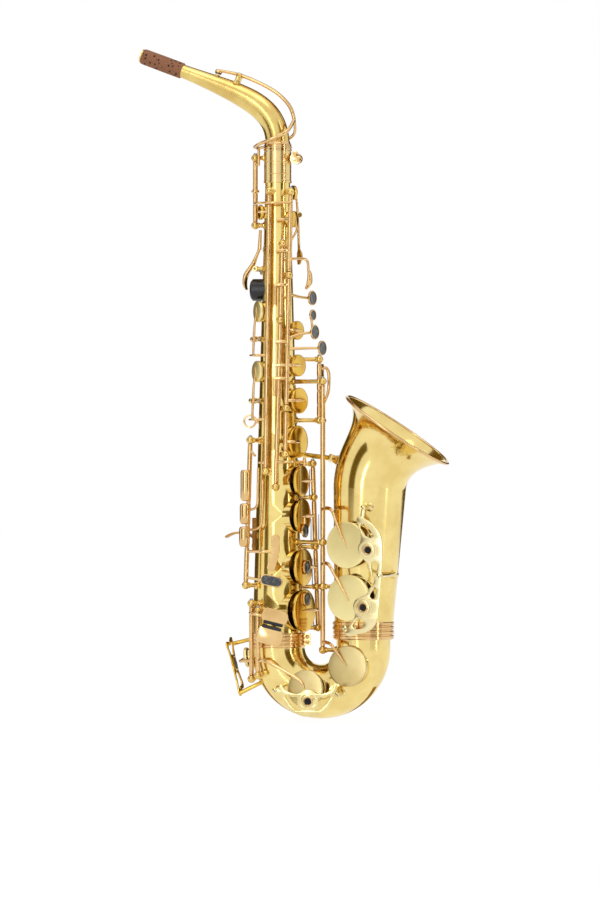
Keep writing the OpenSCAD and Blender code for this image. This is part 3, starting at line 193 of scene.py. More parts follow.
# A brown strip on the paper behind the bow glows in its tone, and only mirrors see it: it paints a reflected shade, the
# thin dark line along the bow's lower edge.
SHADE_STRIP_LONG, SHADE_STRIP_WIDE, SHADE_STRIP_BACK, SHADE_STRIP_LIFT = 0.24, 0.035, 0.015, 0.0006
shade_strip_spot = floor_spot - toward * (SHADE_STRIP_WIDE / 2 + SHADE_STRIP_BACK) + aloft(SHADE_STRIP_LIFT)
toned_card("painted_shade_strip", shade_strip_spot, shade_strip_spot - aloft(1), SHADE_STRIP_LONG, SHADE_STRIP_WIDE, "#A88238")


# Body tube: a straight tapered tube of sheet brass, soldered along its seam, drawn on a mandrel and lacquered.
# The chimneys of its tone holes are soldered on, and each ends in a rolled lip that its pad closes on.
BODY_LOW, BODY_HIGH = 70.8, 534.8
BODY_LOW_R, BODY_HIGH_R = 25.5, 12.4
CHIMNEY = 2.2
PAD_LAND = 2.6
SEAT = CHIMNEY + 0.3
BODY_HOLES = {
    "fs": (237, -20, 16), "f": (202, -20, 17.6), "e": (151, -22, 18.6), "d": (108, -24, 21.4), "b": (387, -20, 9.5),
    "a": (352, -20, 11), "g": (317, -20, 13), "gs": (276, -22, 16.2), "high_e": (505, -150, 7.5),
    "high_fs": (498, -16, 8.2), "side_c": (406, -146, 11), "side_bb": (346, -142, 10.8), "palm_d": (469, 123, 8.6),
    "palm_eb": (518, 82, 7.5), "palm_f": (525.5, 37, 7.4),
}
PLACE = Matrix.Scale(0.001, 4) @ Matrix.Translation(-STRAP_RING)


def radial(theta):
    """The level direction at that angle about the body tube."""
    return Vector((math.cos(math.radians(theta)), math.sin(math.radians(theta)), 0))


def on_body(out, theta, z):
    """A point that stands out from the body tube, in millimetres with the bottom of the bow at zero."""
    r = BODY_LOW_R + (BODY_HIGH_R - BODY_LOW_R) * (z - BODY_LOW) / (BODY_HIGH - BODY_LOW)
    return radial(theta) * (r + out) + aloft(z)


def facing(spot, along):
    """The turn and place that take +Z to that direction at that spot."""
    n = Vector(along).normalized()
    swing = Matrix.Rotation(math.atan2(n.y, n.x), 4, "Z") @ Matrix.Rotation(math.acos(max(-1, min(1, n.z))), 4, "Y")
    return Matrix.Translation(spot) @ swing


def join(whole, part, place, coat=0):
    """Puts a finished part into the piece at its place, with its coat."""
    for face in part.faces:
        face.material_index = coat
    bmesh.ops.transform(part, matrix=place, verts=part.verts)
    mesh = bpy.data.meshes.new("part")
    part.to_mesh(mesh)
    part.free()
    whole.from_mesh(mesh)
    bpy.data.meshes.remove(mesh)


def turned(whole, profile, spot, along, coat=0, steps=32):
    """A part turned on a lathe: a profile of (radius, height) spun about its axis."""
    part = bmesh.new()
    dots = [part.verts.new((r, 0, h)) for r, h in profile]
    line = [part.edges.new(pair) for pair in zip(dots, dots[1:])]
    still = (0, 0, 0)
    bmesh.ops.spin(
        part, geom=dots + line, axis=(0, 0, 1), cent=still, dvec=still, angle=math.tau, steps=steps, use_merge=True
    )
    bmesh.ops.remove_doubles(part, verts=part.verts, dist=0.0005)
    join(whole, part, facing(spot, along), coat)


def finish(name, whole, coats, body, slot, *nodes, sharp=38):
    """Closes the piece, shades it smooth but for its hard edges, and hangs it on its body."""
    bmesh.ops.remove_doubles(whole, verts=whole.verts, dist=0.001)
    bmesh.ops.recalc_face_normals(whole, faces=whole.faces)
    for face in whole.faces:
        face.smooth = True
    for edge in whole.edges:
        edge.smooth = edge.calc_face_angle(0) < math.radians(sharp)
    bmesh.ops.transform(whole, matrix=PLACE, verts=whole.verts)
    mesh = bpy.data.meshes.new(name)
    whole.to_mesh(mesh)
    whole.free()
    for coat in coats:
        mesh.materials.append(coat)
    piece = bpy.data.objects.new(name, mesh)
    scene.collection.objects.link(piece)
    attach(piece, body)
    if nodes:
        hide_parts(*nodes)
    return piece


def dressed(node, coat, body, slot, sharp=30):
    """A merged and smoothed copy of a CAD node in its finish."""
    whole = bmesh.new()
    whole.from_mesh(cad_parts[node].data)
    for face in whole.faces:
        face.material_index = 0
    bmesh.ops.transform(whole, matrix=PLACE.inverted(), verts=whole.verts)
    return finish(node + "_shell", whole, [coat], body, slot, node, sharp=sharp)


def blank(name, **values):
    """A new material with values set on its main shader; also its node tree, that shader and its object coordinates."""
    made = bpy.data.materials.new(name)
    made.use_nodes = True
    tree = made.node_tree
    skin = tree.nodes["Principled BSDF"]
    for socket, value in values.items():
        skin.inputs[socket.replace("_", " ")].default_value = value
    where = add(tree, "ShaderNodeTexCoord")
    return made, tree, skin, {"Vector": (where, "Object")}


def feed(tree, skin, *ends):
    """Links the outputs of nodes to sockets of the main shader."""
    for source, out, socket in ends:
        tree.links.new(source.outputs[out], skin.inputs[socket])


def brass(name, bright, deep, rough, stain):
    """Polished brass under clear lacquer: mirror gloss, faint polishing lines round the part, and soft tarnish."""
    coat, tree, metal, at = blank(name, Metallic=1.0, Coat_Weight=0.25, Coat_Roughness=0.06)
    # Tarnish in clouds some 22 mm wide; polishing lines 0.7 mm apart, drawn coarser than real ones so that they show
    cloud = add(tree, "ShaderNodeTexNoise", {"Scale": 1 / 0.022, "Detail": 3.0, "Roughness": 0.5}, at)
    flat = add(tree, "ShaderNodeMapping", {"Scale": (0.12, 0.12, 1.0)}, at)
    lines = add(tree, "ShaderNodeTexNoise", {"Scale": 1 / 0.0007, "Detail": 3.0}, {"Vector": (flat, 0)})
    reach = {"From Min": 0.38, "From Max": 0.68, "To Min": 0.0, "To Max": stain}
    tone = add(tree, "ShaderNodeMapRange", reach, {"Value": (cloud, "Fac")})
    hue = add(tree, "ShaderNodeMix", {6: lin(bright), 7: lin(deep)}, {0: (tone, 0)}, data_type="RGBA")
    reach = {"From Min": 0.35, "From Max": 0.65, "To Min": rough * 0.95, "To Max": rough * 1.08}
    gloss = add(tree, "ShaderNodeMapRange", reach, {"Value": (lines, "Fac")})
    relief = add(tree, "ShaderNodeBump", {"Strength": 0.005, "Distance": 0.00005}, {"Height": (lines, "Fac")})
    feed(tree, metal, (hue, 2, "Base Color"), (gloss, 0, "Roughness"), (relief, 0, "Normal"))
    return coat


def hole_lips(name, cups, coat, steps):
    """The rolled lips of tone holes, from each one's cup radius, the top of its chimney and the way it faces."""
    lips = bmesh.new()
    for cup, spot, n in cups:
        bore = cup - PAD_LAND
        lip = [(0, -0.5), (0, -0.05), (0.3, 0.1), (0.9, 0.1), (1.25, -0.15), (1.25, -0.5), (0, -0.5)]
        turned(lips, [(bore + r, h) for r, h in lip], spot, n, steps=steps)
    finish(name, lips, [coat], "body", "lacquered_brass")


yellow_brass = brass("lacquered_yellow_brass", "#F5DD8C", "#D4AC52", 0.14, 0.35)
dressed("body_tube", yellow_brass, "body", "lacquered_brass")
tops = [(r, on_body(CHIMNEY, theta, z), radial(theta)) for z, theta, r in BODY_HOLES.values()]
hole_lips("tone_hole_lips", tops, yellow_brass, 48)

# Bow: two pressed half shells of brass soldered into a half ring, with the chimneys of the low C sharp, C and E flat.
BOW_R, BEND_R, BOW_Z = 27.2, 43.6, 70.8
BOW_SPOTS = {"low_cs": (-26, 20.3, 10), "low_c": (-99, 18.5, 8), "low_eb": (-172, 10, -90)}


def bow_point(angle):
    """A point on the bow's middle line."""
    turn = math.radians(angle)
    return Vector((BEND_R * (1 + math.cos(turn)), 0, BOW_Z + BEND_R * math.sin(turn)))


def bow_normal(angle, tip):
    """The way that a chimney of the bow faces."""
    turn, lean = math.radians(angle), math.radians(tip)
    return Vector((-math.sin(lean) * math.cos(turn), -math.cos(lean), -math.sin(lean) * math.sin(turn)))


pale_gold = brass("pale_gold_lacquer_brass", "#F2DA8E", "#CFA950", 0.13, 0.35)
dressed("bow", pale_gold, "body", "lacquered_brass")
tops = []
for angle, r, tip in BOW_SPOTS.values():
    n = bow_normal(angle, tip)
    tops.append((r, bow_point(angle) + n * (BOW_R + CHIMNEY), n))
hole_lips("bow_hole_lips", tops, pale_gold, 48)

# Clamp rings: turned bands of bronze-coloured brass that close the bow's two joints. The one on the body is split,
# and a bracket with two slotted screws draws it together.
rose_brass = brass("bronzed_brass", "#EBC68A", "#B88644", 0.13, 0.4)


def toned(name, dark, light, patch, detail, rough, metallic=0.0, relief=(0.0, 0.0001)):
    """A material in two tones over patches of that size in metres; its gloss and relief follow the patches."""
    made, tree, skin, at = blank(name, Metallic=metallic)
    fleck = add(tree, "ShaderNodeTexNoise", {"Scale": 1 / patch, "Detail": detail}, at)
    hue = add(tree, "ShaderNodeMix", {6: lin(dark), 7: lin(light)}, {0: (fleck, "Fac")}, data_type="RGBA")
    gloss = add(tree, "ShaderNodeMapRange", {"To Min": rough[0], "To Max": rough[1]}, {"Value": (fleck, "Fac")})
    bump = add(tree, "ShaderNodeBump", {"Strength": relief[0], "Distance": relief[1]}, {"Height": (fleck, "Fac")})
    feed(tree, skin, (hue, 2, "Base Color"), (gloss, 0, "Roughness"), (bump, 0, "Normal"))
    return made


# Painted shade in the screws' slots: a near-black colour in specks of 0.4 mm
slot_black = toned("shadowed_slot", "#1B130A", "#33261A", 0.0004, 2.0, (0.7, 0.7))
dressed("bell_bow_ring", rose_brass, "body", "rose_brass")
dressed("body_bow_ring", rose_brass, "body", "rose_brass")


def block(whole, size, place, corner=0.0, edge=0.0, coat=0):
    """A milled block or plate, its upright corners and then its rims rounded."""
    part = bmesh.new()
    bmesh.ops.create_cube(part, size=1.0)
    bmesh.ops.scale(part, vec=size, verts=part.verts)
    if corner:
        upright = [e for e in part.edges if abs((e.verts[0].co - e.verts[1].co).normalized().z) > 0.9]
        bmesh.ops.bevel(part, geom=upright, offset=corner, segments=6, profile=0.5, affect="EDGES", material=-1)
    if edge:
        rims = [e for e in part.edges if e.calc_face_angle(0) > 0.9]
        bmesh.ops.bevel(part, geom=rims, offset=edge, segments=3, profile=0.5, affect="EDGES", material=-1)
    join(whole, part, place, coat)


def screw_head(whole, spot, along, r, coat=0, slot_coat=1, turn=0.5):
    """A round-headed screw, its straight slot a dark bar of painted shade."""
    head = [(0, 0), (r, 0), (r, r * 0.35), (r * 0.85, r * 0.6), (r * 0.45, r * 0.74), (0, r * 0.78)]
    turned(whole, head, spot, along, coat, steps=24)
    place = facing(spot, along) @ Matrix.Rotation(turn, 4, "Z") @ Matrix.Translation((0, 0, r * 0.68))
    block(whole, (r * 1.7, r * 0.26, r * 0.24), place, coat=slot_coat)


screws = bmesh.new()
for z in (76.04, 81.56):
    screw_head(screws, Vector((30.9, -3.7, z)), (0, -1, 0), 2.0, turn=0.4 + z)
finish("clamp_screws", screws, [rose_brass, slot_black], "body", "rose_brass")

# Bell: a cone with the chimneys of the low B and B flat, and a flare spun out of sheet brass. Its edge is rolled
# over a wire, which makes a round bright rim.
BELL_FOOT = Vector((87.2, 0, 83.8))
BELL_LEAN = math.radians(2.5)
BELL_CONE = 146.0
BELL_LOW_R, THROAT_R, RIM_R, RIM_WIRE_R = 28.8, 36.2, 61.5, 1.5
FLARE = [Vector((x, 0, z)) for x, z in ((93.5684, 229.661), (94.6489, 254.409), (107.717, 267.125), (121.568, 287.661))]
RIM_TILT = math.radians(34)
SHEET = 0.9
BELL_HOLES = {"low_b": (38, -97, 23), "low_bb": (90, -102, 23)}
lean = Matrix.Translation(BELL_FOOT) @ Matrix.Rotation(BELL_LEAN, 4, "Y")


def bell_radius(s):
    """Radius of the bell's cone that far up from its foot."""
    return BELL_LOW_R + (THROAT_R - BELL_LOW_R) * s / BELL_CONE


def on_bell(out, theta, s):
    """A point that stands out from the bell's cone."""
    return lean @ (radial(theta) * (bell_radius(s) + out) + aloft(s))


def bent(ends, t):
    """Point and direction on a curve with two handles."""
    a, b, c, d = ends
    spot = a * (1 - t) ** 3 + b * 3 * t * (1 - t) ** 2 + c * 3 * t * t * (1 - t) + d * t ** 3
    way = (b - a) * (1 - t) ** 2 + (c - b) * 2 * t * (1 - t) + (d - c) * t * t
    return spot, way.normalized()


def station(spot, way, side, wide, high):
    """Where one cross section of a drawn tube or bar stands, and how wide and high it is there."""
    side = (side - way * side.dot(way)).normalized()
    over = way.cross(side)
    grid = Matrix((side * wide, over * high, way)).transposed().to_4x4()
    grid.translation = spot
    return grid


def drawn(whole, stations, coat=0, sides=24, capped=True):
    """A tube or bar drawn through its stations: a round section pulled from each to the next."""
    part = bmesh.new()
    bmesh.ops.create_circle(part, cap_ends=capped, segments=sides, radius=1.0, matrix=stations[0])
    front = part.edges[:]
    for last, coming in zip(stations, stations[1:]):
        pulled = bmesh.ops.extrude_edge_only(part, edges=front)["geom"]
        dots = {v for v in pulled if isinstance(v, bmesh.types.BMVert)}
        front = [e for e in pulled if isinstance(e, bmesh.types.BMEdge) and e.verts[0] in dots and e.verts[1] in dots]
        bmesh.ops.transform(part, matrix=coming @ last.inverted(), verts=list(dots))
    if capped:
        bmesh.ops.contextual_create(part, geom=front)
    join(whole, part, Matrix.Identity(4), coat)


def flare_station(t, inset):
    """A section of the flare, which curls out steeply towards the rim."""
    spot, way = bent(FLARE, t)
    r = THROAT_R + 2 * t + (RIM_R - 2 * RIM_WIRE_R - THROAT_R - 2) * t ** 5 - inset
    return station(spot, way, Vector((0, 1, 0)), r, r)


dressed("bell_tube", pale_gold, "body", "lacquered_brass")
flare = bmesh.new()
steps = [1 - (1 - i / 48) ** 1.35 for i in range(49)]
outside = [flare_station(t, 0) for t in steps]
inside = [flare_station(t, SHEET) for t in reversed(steps)]
drawn(flare, outside + inside + outside[:1], sides=128, capped=False)
finish("bell_flare_spun", flare, [pale_gold], "body", "lacquered_brass", "bell_flare", sharp=60)
rim = bmesh.new()
turns = [math.tau * i / 16 for i in range(17)]
wire = [(RIM_R - RIM_WIRE_R + RIM_WIRE_R * math.cos(a), RIM_WIRE_R * math.sin(a)) for a in turns]
turned(rim, wire, FLARE[3], (math.sin(RIM_TILT), 0, math.cos(RIM_TILT)), steps=128)
finish("bell_rim_rolled", rim, [rose_brass], "body", "rose_brass", "bell_rim_wire")
tops = [(r, on_bell(CHIMNEY, theta, s), lean.to_3x3() @ radial(theta)) for s, theta, r in BELL_HOLES.values()]
hole_lips("bell_hole_lips", tops, pale_gold, 64)

# Brace: a turned strut from the body to the bell, soldered through flared feet, which keeps the two from spreading.
dressed("bell_brace", pale_gold, "body", "lacquered_brass")

# Neck receiver: a turned sleeve, split at the front, whose two lugs the neck screw draws together.
RECEIVER_TOP, COLLAR_TOP = 565.8, 572.8
LUG = Vector((19.1, 0, 558.8))
brushed_brass = brass("brushed_receiver_brass", "#F0D494", "#CDA65E", 0.24, 0.35)
dressed("neck_receiver", brushed_brass, "body", "lacquered_brass")


def band(whole, z, bore, r, tall, edge):
    """A turned ring about the body's axis, its two edges broken."""
    wall = [(bore, 0), (r - edge, 0), (r, edge), (r, tall - edge), (r - edge, tall), (bore, tall), (bore, 0)]
    turned(whole, wall, (0, 0, z), (0, 0, 1), steps=64)


rings = bmesh.new()
band(rings, 534.4, 12.2, 14.0, 2.6, 0.3)
finish("receiver_foot_ring", rings, [brushed_brass], "body", "lacquered_brass")

# Neck screw: a brass screw with a pair of round wings for the fingers.
screw = bmesh.new()
for y, wall in (
    (-6.8, [(0, 0), (1.9, 0), (1.9, 13.2), (1.5, 13.9), (0, 13.9)]),
    (-7.6, [(0, 0), (2.2, 0), (3.1, 0.6), (3.1, 2.2), (2.6, 2.55), (0, 2.55)]),
    (-11.6, [(0, 0), (1.8, 0), (2.1, 1.4), (1.5, 2.8), (1.7, 4.3), (0, 4.3)]),
):
    turned(screw, wall, LUG + Vector((0, y, 0)), (0, 1, 0), steps=24)
wing = [(0, -0.9), (2.6, -1.0), (3.3, -0.5), (3.3, 0.5), (2.6, 1.0), (0, 0.9)]
for out, up in ((1.4, 3.4), (4.6, -1.4)):
    turned(screw, wing, LUG + Vector((out, -12.4, up)), (0.35, -1, 0.2), steps=28)
finish("neck_screw_winged", screw, [rose_brass], "neck_screw", "rose_brass", "neck_screw")

# Neck: a tapered brass tube bent over a mandrel, soldered into a collar over its tenon.
NECK = [Vector(p) for p in ((0, 0, COLLAR_TOP), (0, 0, 618.4), (-37.616, 0, 625.621), (-98, 0, 648.8))]
NECK_LOW_R, NECK_TIP_R = 12.2, 6.7
NECK_WAY = Vector((-0.93358, 0, 0.358368))
CORK_LONG = 44.0
NECK_BELLY = 2.1
pale_brass = brass("pale_brass", "#EFE0AC", "#CDB16C", 0.2, 0.4)
neck = bmesh.new()


def neck_station(t, inset):
    """A section of the neck, which narrows towards the cork and is fuller under its bend."""
    spot, way = bent(NECK, t)
    r = NECK_LOW_R + (NECK_TIP_R - NECK_LOW_R) * t - inset
    belly = NECK_BELLY * math.sin(math.pi * t) ** 1.5
    under = Vector((-way.z, 0, way.x)) * belly
    return station(spot + under, way, Vector((0, 1, 0)), r + belly * 0.6, r + belly)


def neck_end(inset):
    """The neck's open end, just past the cork."""
    r = NECK_TIP_R - inset
    return station(NECK[3] + NECK_WAY * (CORK_LONG + 1.5), NECK_WAY, Vector((0, 1, 0)), r, r)


outside = [neck_station(i / 48, 0) for i in range(49)] + [neck_end(0)]
inside = [neck_end(SHEET)] + [neck_station(i / 48, SHEET) for i in range(48, -1, -1)]
drawn(neck, outside + inside + outside[:1], sides=64, capped=False)
satin_neck = brass("satin_neck_brass", "#E9CE7E", "#BE9440", 0.22, 0.5)
finish("neck_bent", neck, [satin_neck], "neck", "lacquered_brass", "neck_tube", sharp=60)
dressed("neck_tenon", pale_brass, "neck", "pale_brass")
collar = bmesh.new()
for z, r, tall in ((566.6, 14.2, 2.0), (569.4, 14.5, 1.7), (571.6, 14.0, 1.5)):
    band(collar, z, 12, r, tall, 0.4)
foot = [(12.0, 0), (13.6, 0), (13.4, 0.9), (12.7, 1.8), (12.4, 3.4), (12.0, 3.6), (12.0, 0)]
turned(collar, foot, (0, 0, COLLAR_TOP), (0, 0, 1), steps=64)
finish("neck_collar_rings", collar, [rose_brass], "neck", "rose_brass")

# Cork: a sleeve of sheet cork glued round the neck's end, sanded to a slight taper. The mouthpiece is pushed on it.
cork, tree, skin, at = blank("sanded_cork", Roughness=0.85)
# Cells in patches about 1.6 mm wide, and dark pits about 4 mm apart that are sunk in
grain = add(tree, "ShaderNodeTexNoise", {"Scale": 1 / 0.0016, "Detail": 5.0, "Roughness": 0.65}, at)
pits = add(tree, "ShaderNodeTexVoronoi", {"Scale": 1 / 0.0042, "Randomness": 1.0}, at)
reach = {"From Min": 0.2, "From Max": 0.31, "To Min": 1.0, "To Max": 0.0}
deep = add(tree, "ShaderNodeMapRange", reach, {"Value": (pits, "Distance")})
body = add(tree, "ShaderNodeMix", {6: lin("#8A5840"), 7: lin("#B8805C")}, {0: (grain, "Fac")}, data_type="RGBA")
hue = add(tree, "ShaderNodeMix", {7: lin("#1E0F08")}, {0: (deep, 0), 6: (body, 2)}, data_type="RGBA")
sunk = add(tree, "ShaderNodeMath", links={0: (grain, "Fac"), 1: (deep, 0)}, operation="SUBTRACT")
relief = add(tree, "ShaderNodeBump", {"Strength": 0.5, "Distance": 0.0004}, {"Height": (sunk, 0)})
feed(tree, skin, (hue, 2, "Base Color"), (relief, 0, "Normal"))
sleeve = bmesh.new()
wall = [(6.76, 0), (7.5, 0), (7.95, 0.5), (8.0, 2), (8.0, 20), (7.85, 40), (7.7, 43), (7.2, 44), (6.76, 44), (6.76, 0)]
turned(sleeve, wall, NECK[3], NECK_WAY, steps=64)
finish("neck_cork_sleeve", sleeve, [cork], "neck", "cork", "neck_cork")

# Octave vent and saddle of the neck: two small posts carry the key's pin, and a turned nipple opens into the bore.
SADDLE = Vector((-38.7263, 0, 642.855))
SADDLE_WAY = bent(NECK, 0.66)[1]
SADDLE_UP = Vector((SADDLE_WAY.z, 0, -SADDLE_WAY.x))
VENT, VENT_WAY = bent(NECK, 0.8)
VENT_UP = Vector((VENT_WAY.z, 0, -VENT_WAY.x))
VENT = VENT + VENT_UP * (NECK_LOW_R + (NECK_TIP_R - NECK_LOW_R) * 0.8)
EAR_HIGH, EAR_R = 9, 2.7


def dome(high, r, angles):
    """The outline of a ball from the side, at those angles above its middle."""
    return [(r * math.cos(math.radians(a)), high + r * math.sin(math.radians(a))) for a in angles]


def rod(r, long):
    """The outline of a plain rod."""
    return [(0, 0), (r, 0), (r, long), (0, long)]


saddle = bmesh.new()
for side in (-5, 5):
    foot = SADDLE + Vector((0, side, 0)) - SADDLE_UP * EAR_HIGH
    ear = [(0, 0), (2.9, 0), (2.9, 1.6), (2.2, 2.6), (1.9, 4.6), (2.2, 6.6)] + dome(EAR_HIGH, EAR_R, range(-40, 90, 13))
    turned(saddle, ear + [(0, EAR_HIGH + EAR_R)], foot, SADDLE_UP, steps=28)
    screw_head(saddle, SADDLE + Vector((0, side * 1.46, 0)), (0, side, 0), 1.5)
turned(saddle, rod(1.0, 13), SADDLE - Vector((0, 6.5, 0)), (0, 1, 0), steps=16)
turned(saddle, [(0, -1), (3.6, -1), (3.4, -0.2), (2.3, 0.3), (2.2, 1.2), (0, 1.2)], VENT, VENT_UP, steps=28)
finish("neck_saddle_turned", saddle, [yellow_brass, slot_black], "neck", "lacquered_brass", "neck_saddle")


def smooth_path(points, per=6):
    """A smooth line through the given points."""
    dots = [Vector(p) for p in points]
    path = []
    for i in range(len(dots) - 1):
        a, b, c, d = dots[max(i - 1, 0)], dots[i], dots[i + 1], dots[min(i + 2, len(dots) - 1)]
        for k in range(per):
            t = k / per
            square, cube = 2 * a - 5 * b + 4 * c - d, 3 * b - a - 3 * c + d
            path.append(0.5 * (2 * b + (c - a) * t + square * t * t + cube * t ** 3))
    return path + [dots[-1]]


def bar(whole, points, wide, high=None, up=None, coat=0, sides=14, per=6):
    """A forged bar along a smooth line: its width and height change from point to point, and it lies flat to up."""
    path = smooth_path(points, per)
    high = high or wide
    stations = []
    side = None
    for i, spot in enumerate(path):
        way = (path[min(i + 1, len(path) - 1)] - path[max(i - 1, 0)]).normalized()
        if up is not None:
            side = Vector(up).cross(way)
        elif side is None:
            side = aloft(1) if abs(way.z) < 0.9 else Vector((1, 0, 0))
        else:
            side = side - way * side.dot(way)
        k = min(i // per, len(points) - 2)
        f = i / per - k
        size = [s[k] * (1 - f) + s[k + 1] * f for s in (wide, high)]
        stations.append(station(spot, way, side, size[0] / 2, size[1] / 2))
    drawn(whole, stations, coat, sides)


# Neck octave key: a flat strip that rocks on the saddle. Its cup covers the vent, and its ring goes round the neck.
RING_TOP = Vector((17, 0, RECEIVER_TOP + 32))
octave = bmesh.new()
arch = [VENT + VENT_UP * 5.2, SADDLE + aloft(0.6), (-17, 0, 634.3), (0.5, 0, 623.8), (12.5, 0, 610.8), RING_TOP]
bar(octave, arch, [3.4, 5.0, 5.4, 5.6, 5.4, 4.6], [2.6, 3.6, 3.6, 3.7, 3.7, 3.6], up=(0, 0, 1), sides=18, per=8)
for side in (-1, 1):
    half = ((13, 17, 584.8), (0, 21.5, 577.8), (-14, 17.5, 573), (-21.5, 8, 570.5), (-23, 0, 570))
    loop = [RING_TOP] + [(x, side * y, z) for x, y, z in half]
    bar(octave, loop, [4.4, 4.0, 3.8, 3.6, 3.4, 3.4], [2.8, 2.8, 2.8, 2.7, 2.6, 2.6], sides=16, per=8)
turned(octave, [(1.05, -2.2), (2.2, -2.2), (2.2, 2.2), (1.05, 2.2), (1.05, -2.2)], SADDLE, (0, 1, 0), steps=24)
crown = [(0, 4.6), (1.8, 4.5), (3.2, 3.9), (3.7, 2.6), (3.7, 1.5), (0, 1.5)]
turned(octave, crown, VENT + VENT_UP * 1.5, VENT_UP, steps=28)
finish("neck_octave_strip", octave, [rose_brass], "neck_octave_key", "rose_brass", "neck_octave_key", sharp=50)

# Posts: turned brass pillars soldered to the tubes. Each has a round foot, a waisted stem and a drilled ball that
# carries a hinge rod. The short posts of the cross levers end in a barrel.
BALL_R, ROD_R, TUBE_BORE = 3.3, 1.5, 1.56
POST_BALL = 4.0
LINES = {
    "upper": (on_body(12, -46, 524.7), on_body(8, -62, 263.4)),
    "lower": (on_body(14.8, 15, 254), on_body(15.6, 18, 90)),
    "side": (on_body(5.6, -105, 526), on_body(5.6, -105, 246.5)),
    "front": (on_body(5, -63, 473), on_body(6, -82, 231)),
    "touch": (on_body(10.3, -143, 277.5), on_body(11.2, -143, 133)),
    "bell": (Vector((48.5, -12, 336)), Vector((48.5, -12, 69))),
    "eb": (Vector((-21.2, -25.3, 115)), Vector((-21.2, -25.3, 40))),
    "c": (Vector((-13.4, -30.8, 108)), Vector((-13.4, -30.8, 44))),
    "table": (radial(20) * 42 + aloft(358.5), radial(20) * 42 + aloft(297.5)),
    "octave": (Vector((-22.9, 0, 560)), Vector((-22.9, 0, 492.6))),
}
BODY_POSTS = {
    "upper": (524.7, 441.5, 309.3, 263.4), "lower": (254, 220.3, 170.8, 131, 90), "side": (526, 246.5),
    "front": (473, 397, 231), "touch": (277.5, 133), "bell": (336, 176), "octave": (492.6,), "eb": (115,), "c": (108,),
    "table": (358.5, 297.5),
}
# Cross keys rock on short axles: the height of each pivot and of the tail's end, over the angle of the key's hole
LEVERS = {
    "side_c": (378.5, 361), "side_bb": (317, 297), "palm_d": (446, 411), "palm_eb": (495, 458), "palm_f": (503, 460),
}
OCTAVE_AXLE = (449, 180)
AXLES = [(LEVERS[node][0], BODY_HOLES[node][1]) for node in LEVERS] + [OCTAVE_AXLE]
LEVER_HIGH, LEVER_POST = 6.5, 7.6


def on_line(line, z):
    """The point of a hinge line at that height."""
    top, low = LINES[line]
    return top + (low - top) * (z - top.z) / (low.z - top.z)


def post(whole, foot, ball):
    """One turned post from its foot on the tube to the ball."""
    tall = (ball - foot).length
    waist = [(0, -0.4), (3.9, -0.4), (3.9, 0.5), (3.0, 1.0), (2.4, 1.6), (2.1, tall * 0.45)]
    for r, short, share in ((2.15, 4.6, 0.5), (2.9, 4.1, 0.55), (2.9, 3.5, 0.6)):
        waist.append((r, max(tall - short, tall * share)))
    ball_line = dome(tall, POST_BALL, range(-48, 79, 12)) + [(0, tall + POST_BALL)]
    turned(whole, waist + ball_line, foot, ball - foot, steps=28)


post_brass = brass("polished_post_brass", "#E9C878", "#B98C40", 0.13, 0.4)
posts = bmesh.new()
for line, heights in BODY_POSTS.items():
    for z in heights:
        ball = on_line(line, z)
        out = Vector((ball.x, ball.y, 0)).normalized()
        post(posts, out * (on_body(0, 0, z).x) + aloft(z), ball)
post(posts, Vector((-13.6, 0, 560)), on_line("octave", 560))
for line in ("eb", "c"):
    ball = LINES[line][1]
    way = Vector((ball.x - BEND_R, 0, ball.z - BOW_Z)).normalized()
    core = Vector((BEND_R, 0, BOW_Z)) + way * BEND_R
    post(posts, core + (ball - core).normalized() * BOW_R, ball)
BELL_POST = 132
up_bell = BELL_POST - BELL_FOOT.z
for core, z, r in ((lean @ aloft(up_bell), BELL_POST, bell_radius(up_bell)), (Vector((BELL_FOOT.x, 0, 69)), 69, BOW_R)):
    ball = on_line("bell", z)
    post(posts, core + (ball - core).normalized() * r, ball)
for pivot, theta in AXLES:
    along = radial(theta + 90)
    for side in (-1, 1):
        head = on_body(LEVER_HIGH, theta, pivot) + along * LEVER_POST * side
        way = Vector((head.x, head.y, 0)).normalized()
        foot = way * on_body(0, 0, pivot).x + aloft(pivot)
        tall = (head - foot).length
        stem = [(0, -0.4), (3, -0.4), (3, 0.4), (2.1, 0.9), (1.7, tall * 0.5), (1.9, tall), (0, tall)]
        turned(posts, stem, foot, way, steps=24)
        cap = [(0, -2.3), (2.2, -2.3), (2.7, -1.8), (2.7, 1.8), (2.2, 2.3), (0, 2.3)]
        turned(posts, cap, head, along, steps=24)
finish("posts_turned", posts, [post_brass], "body", "lacquered_brass", "key_posts")

# Hinge rods: ground steel rods screwed in from one end, with a slotted head that shows in the outer ball.
# Grinding marks are about 0.5 mm apart
steel = toned("ground_steel", "#A7A8A8", "#CFCFCB", 0.0005, 3.0, (0.2, 0.38), metallic=1.0)
rods = bmesh.new()
for line, (top, low) in LINES.items():
    if line == "side":
        continue
    way = (top - low).normalized()
    long = (top - low).length + 2 * (BALL_R - 0.6)
    turned(rods, rod(ROD_R, long), low - way * (BALL_R - 0.6), way, steps=20)
    screw_head(rods, top + way * (POST_BALL - 0.4), way, 1.8)
for pivot, theta in AXLES:
    along = radial(theta + 90)
    head = on_body(LEVER_HIGH, theta, pivot)
    long = 2 * (LEVER_POST + BALL_R - 1.2)
    turned(rods, rod(ROD_R, long), head - along * long / 2, along, steps=20)
    screw_head(rods, head + along * (long / 2 - 0.2), along, 1.6)
finish("hinge_rods_slotted", rods, [steel, slot_black], "body", "steel", "hinge_rods")

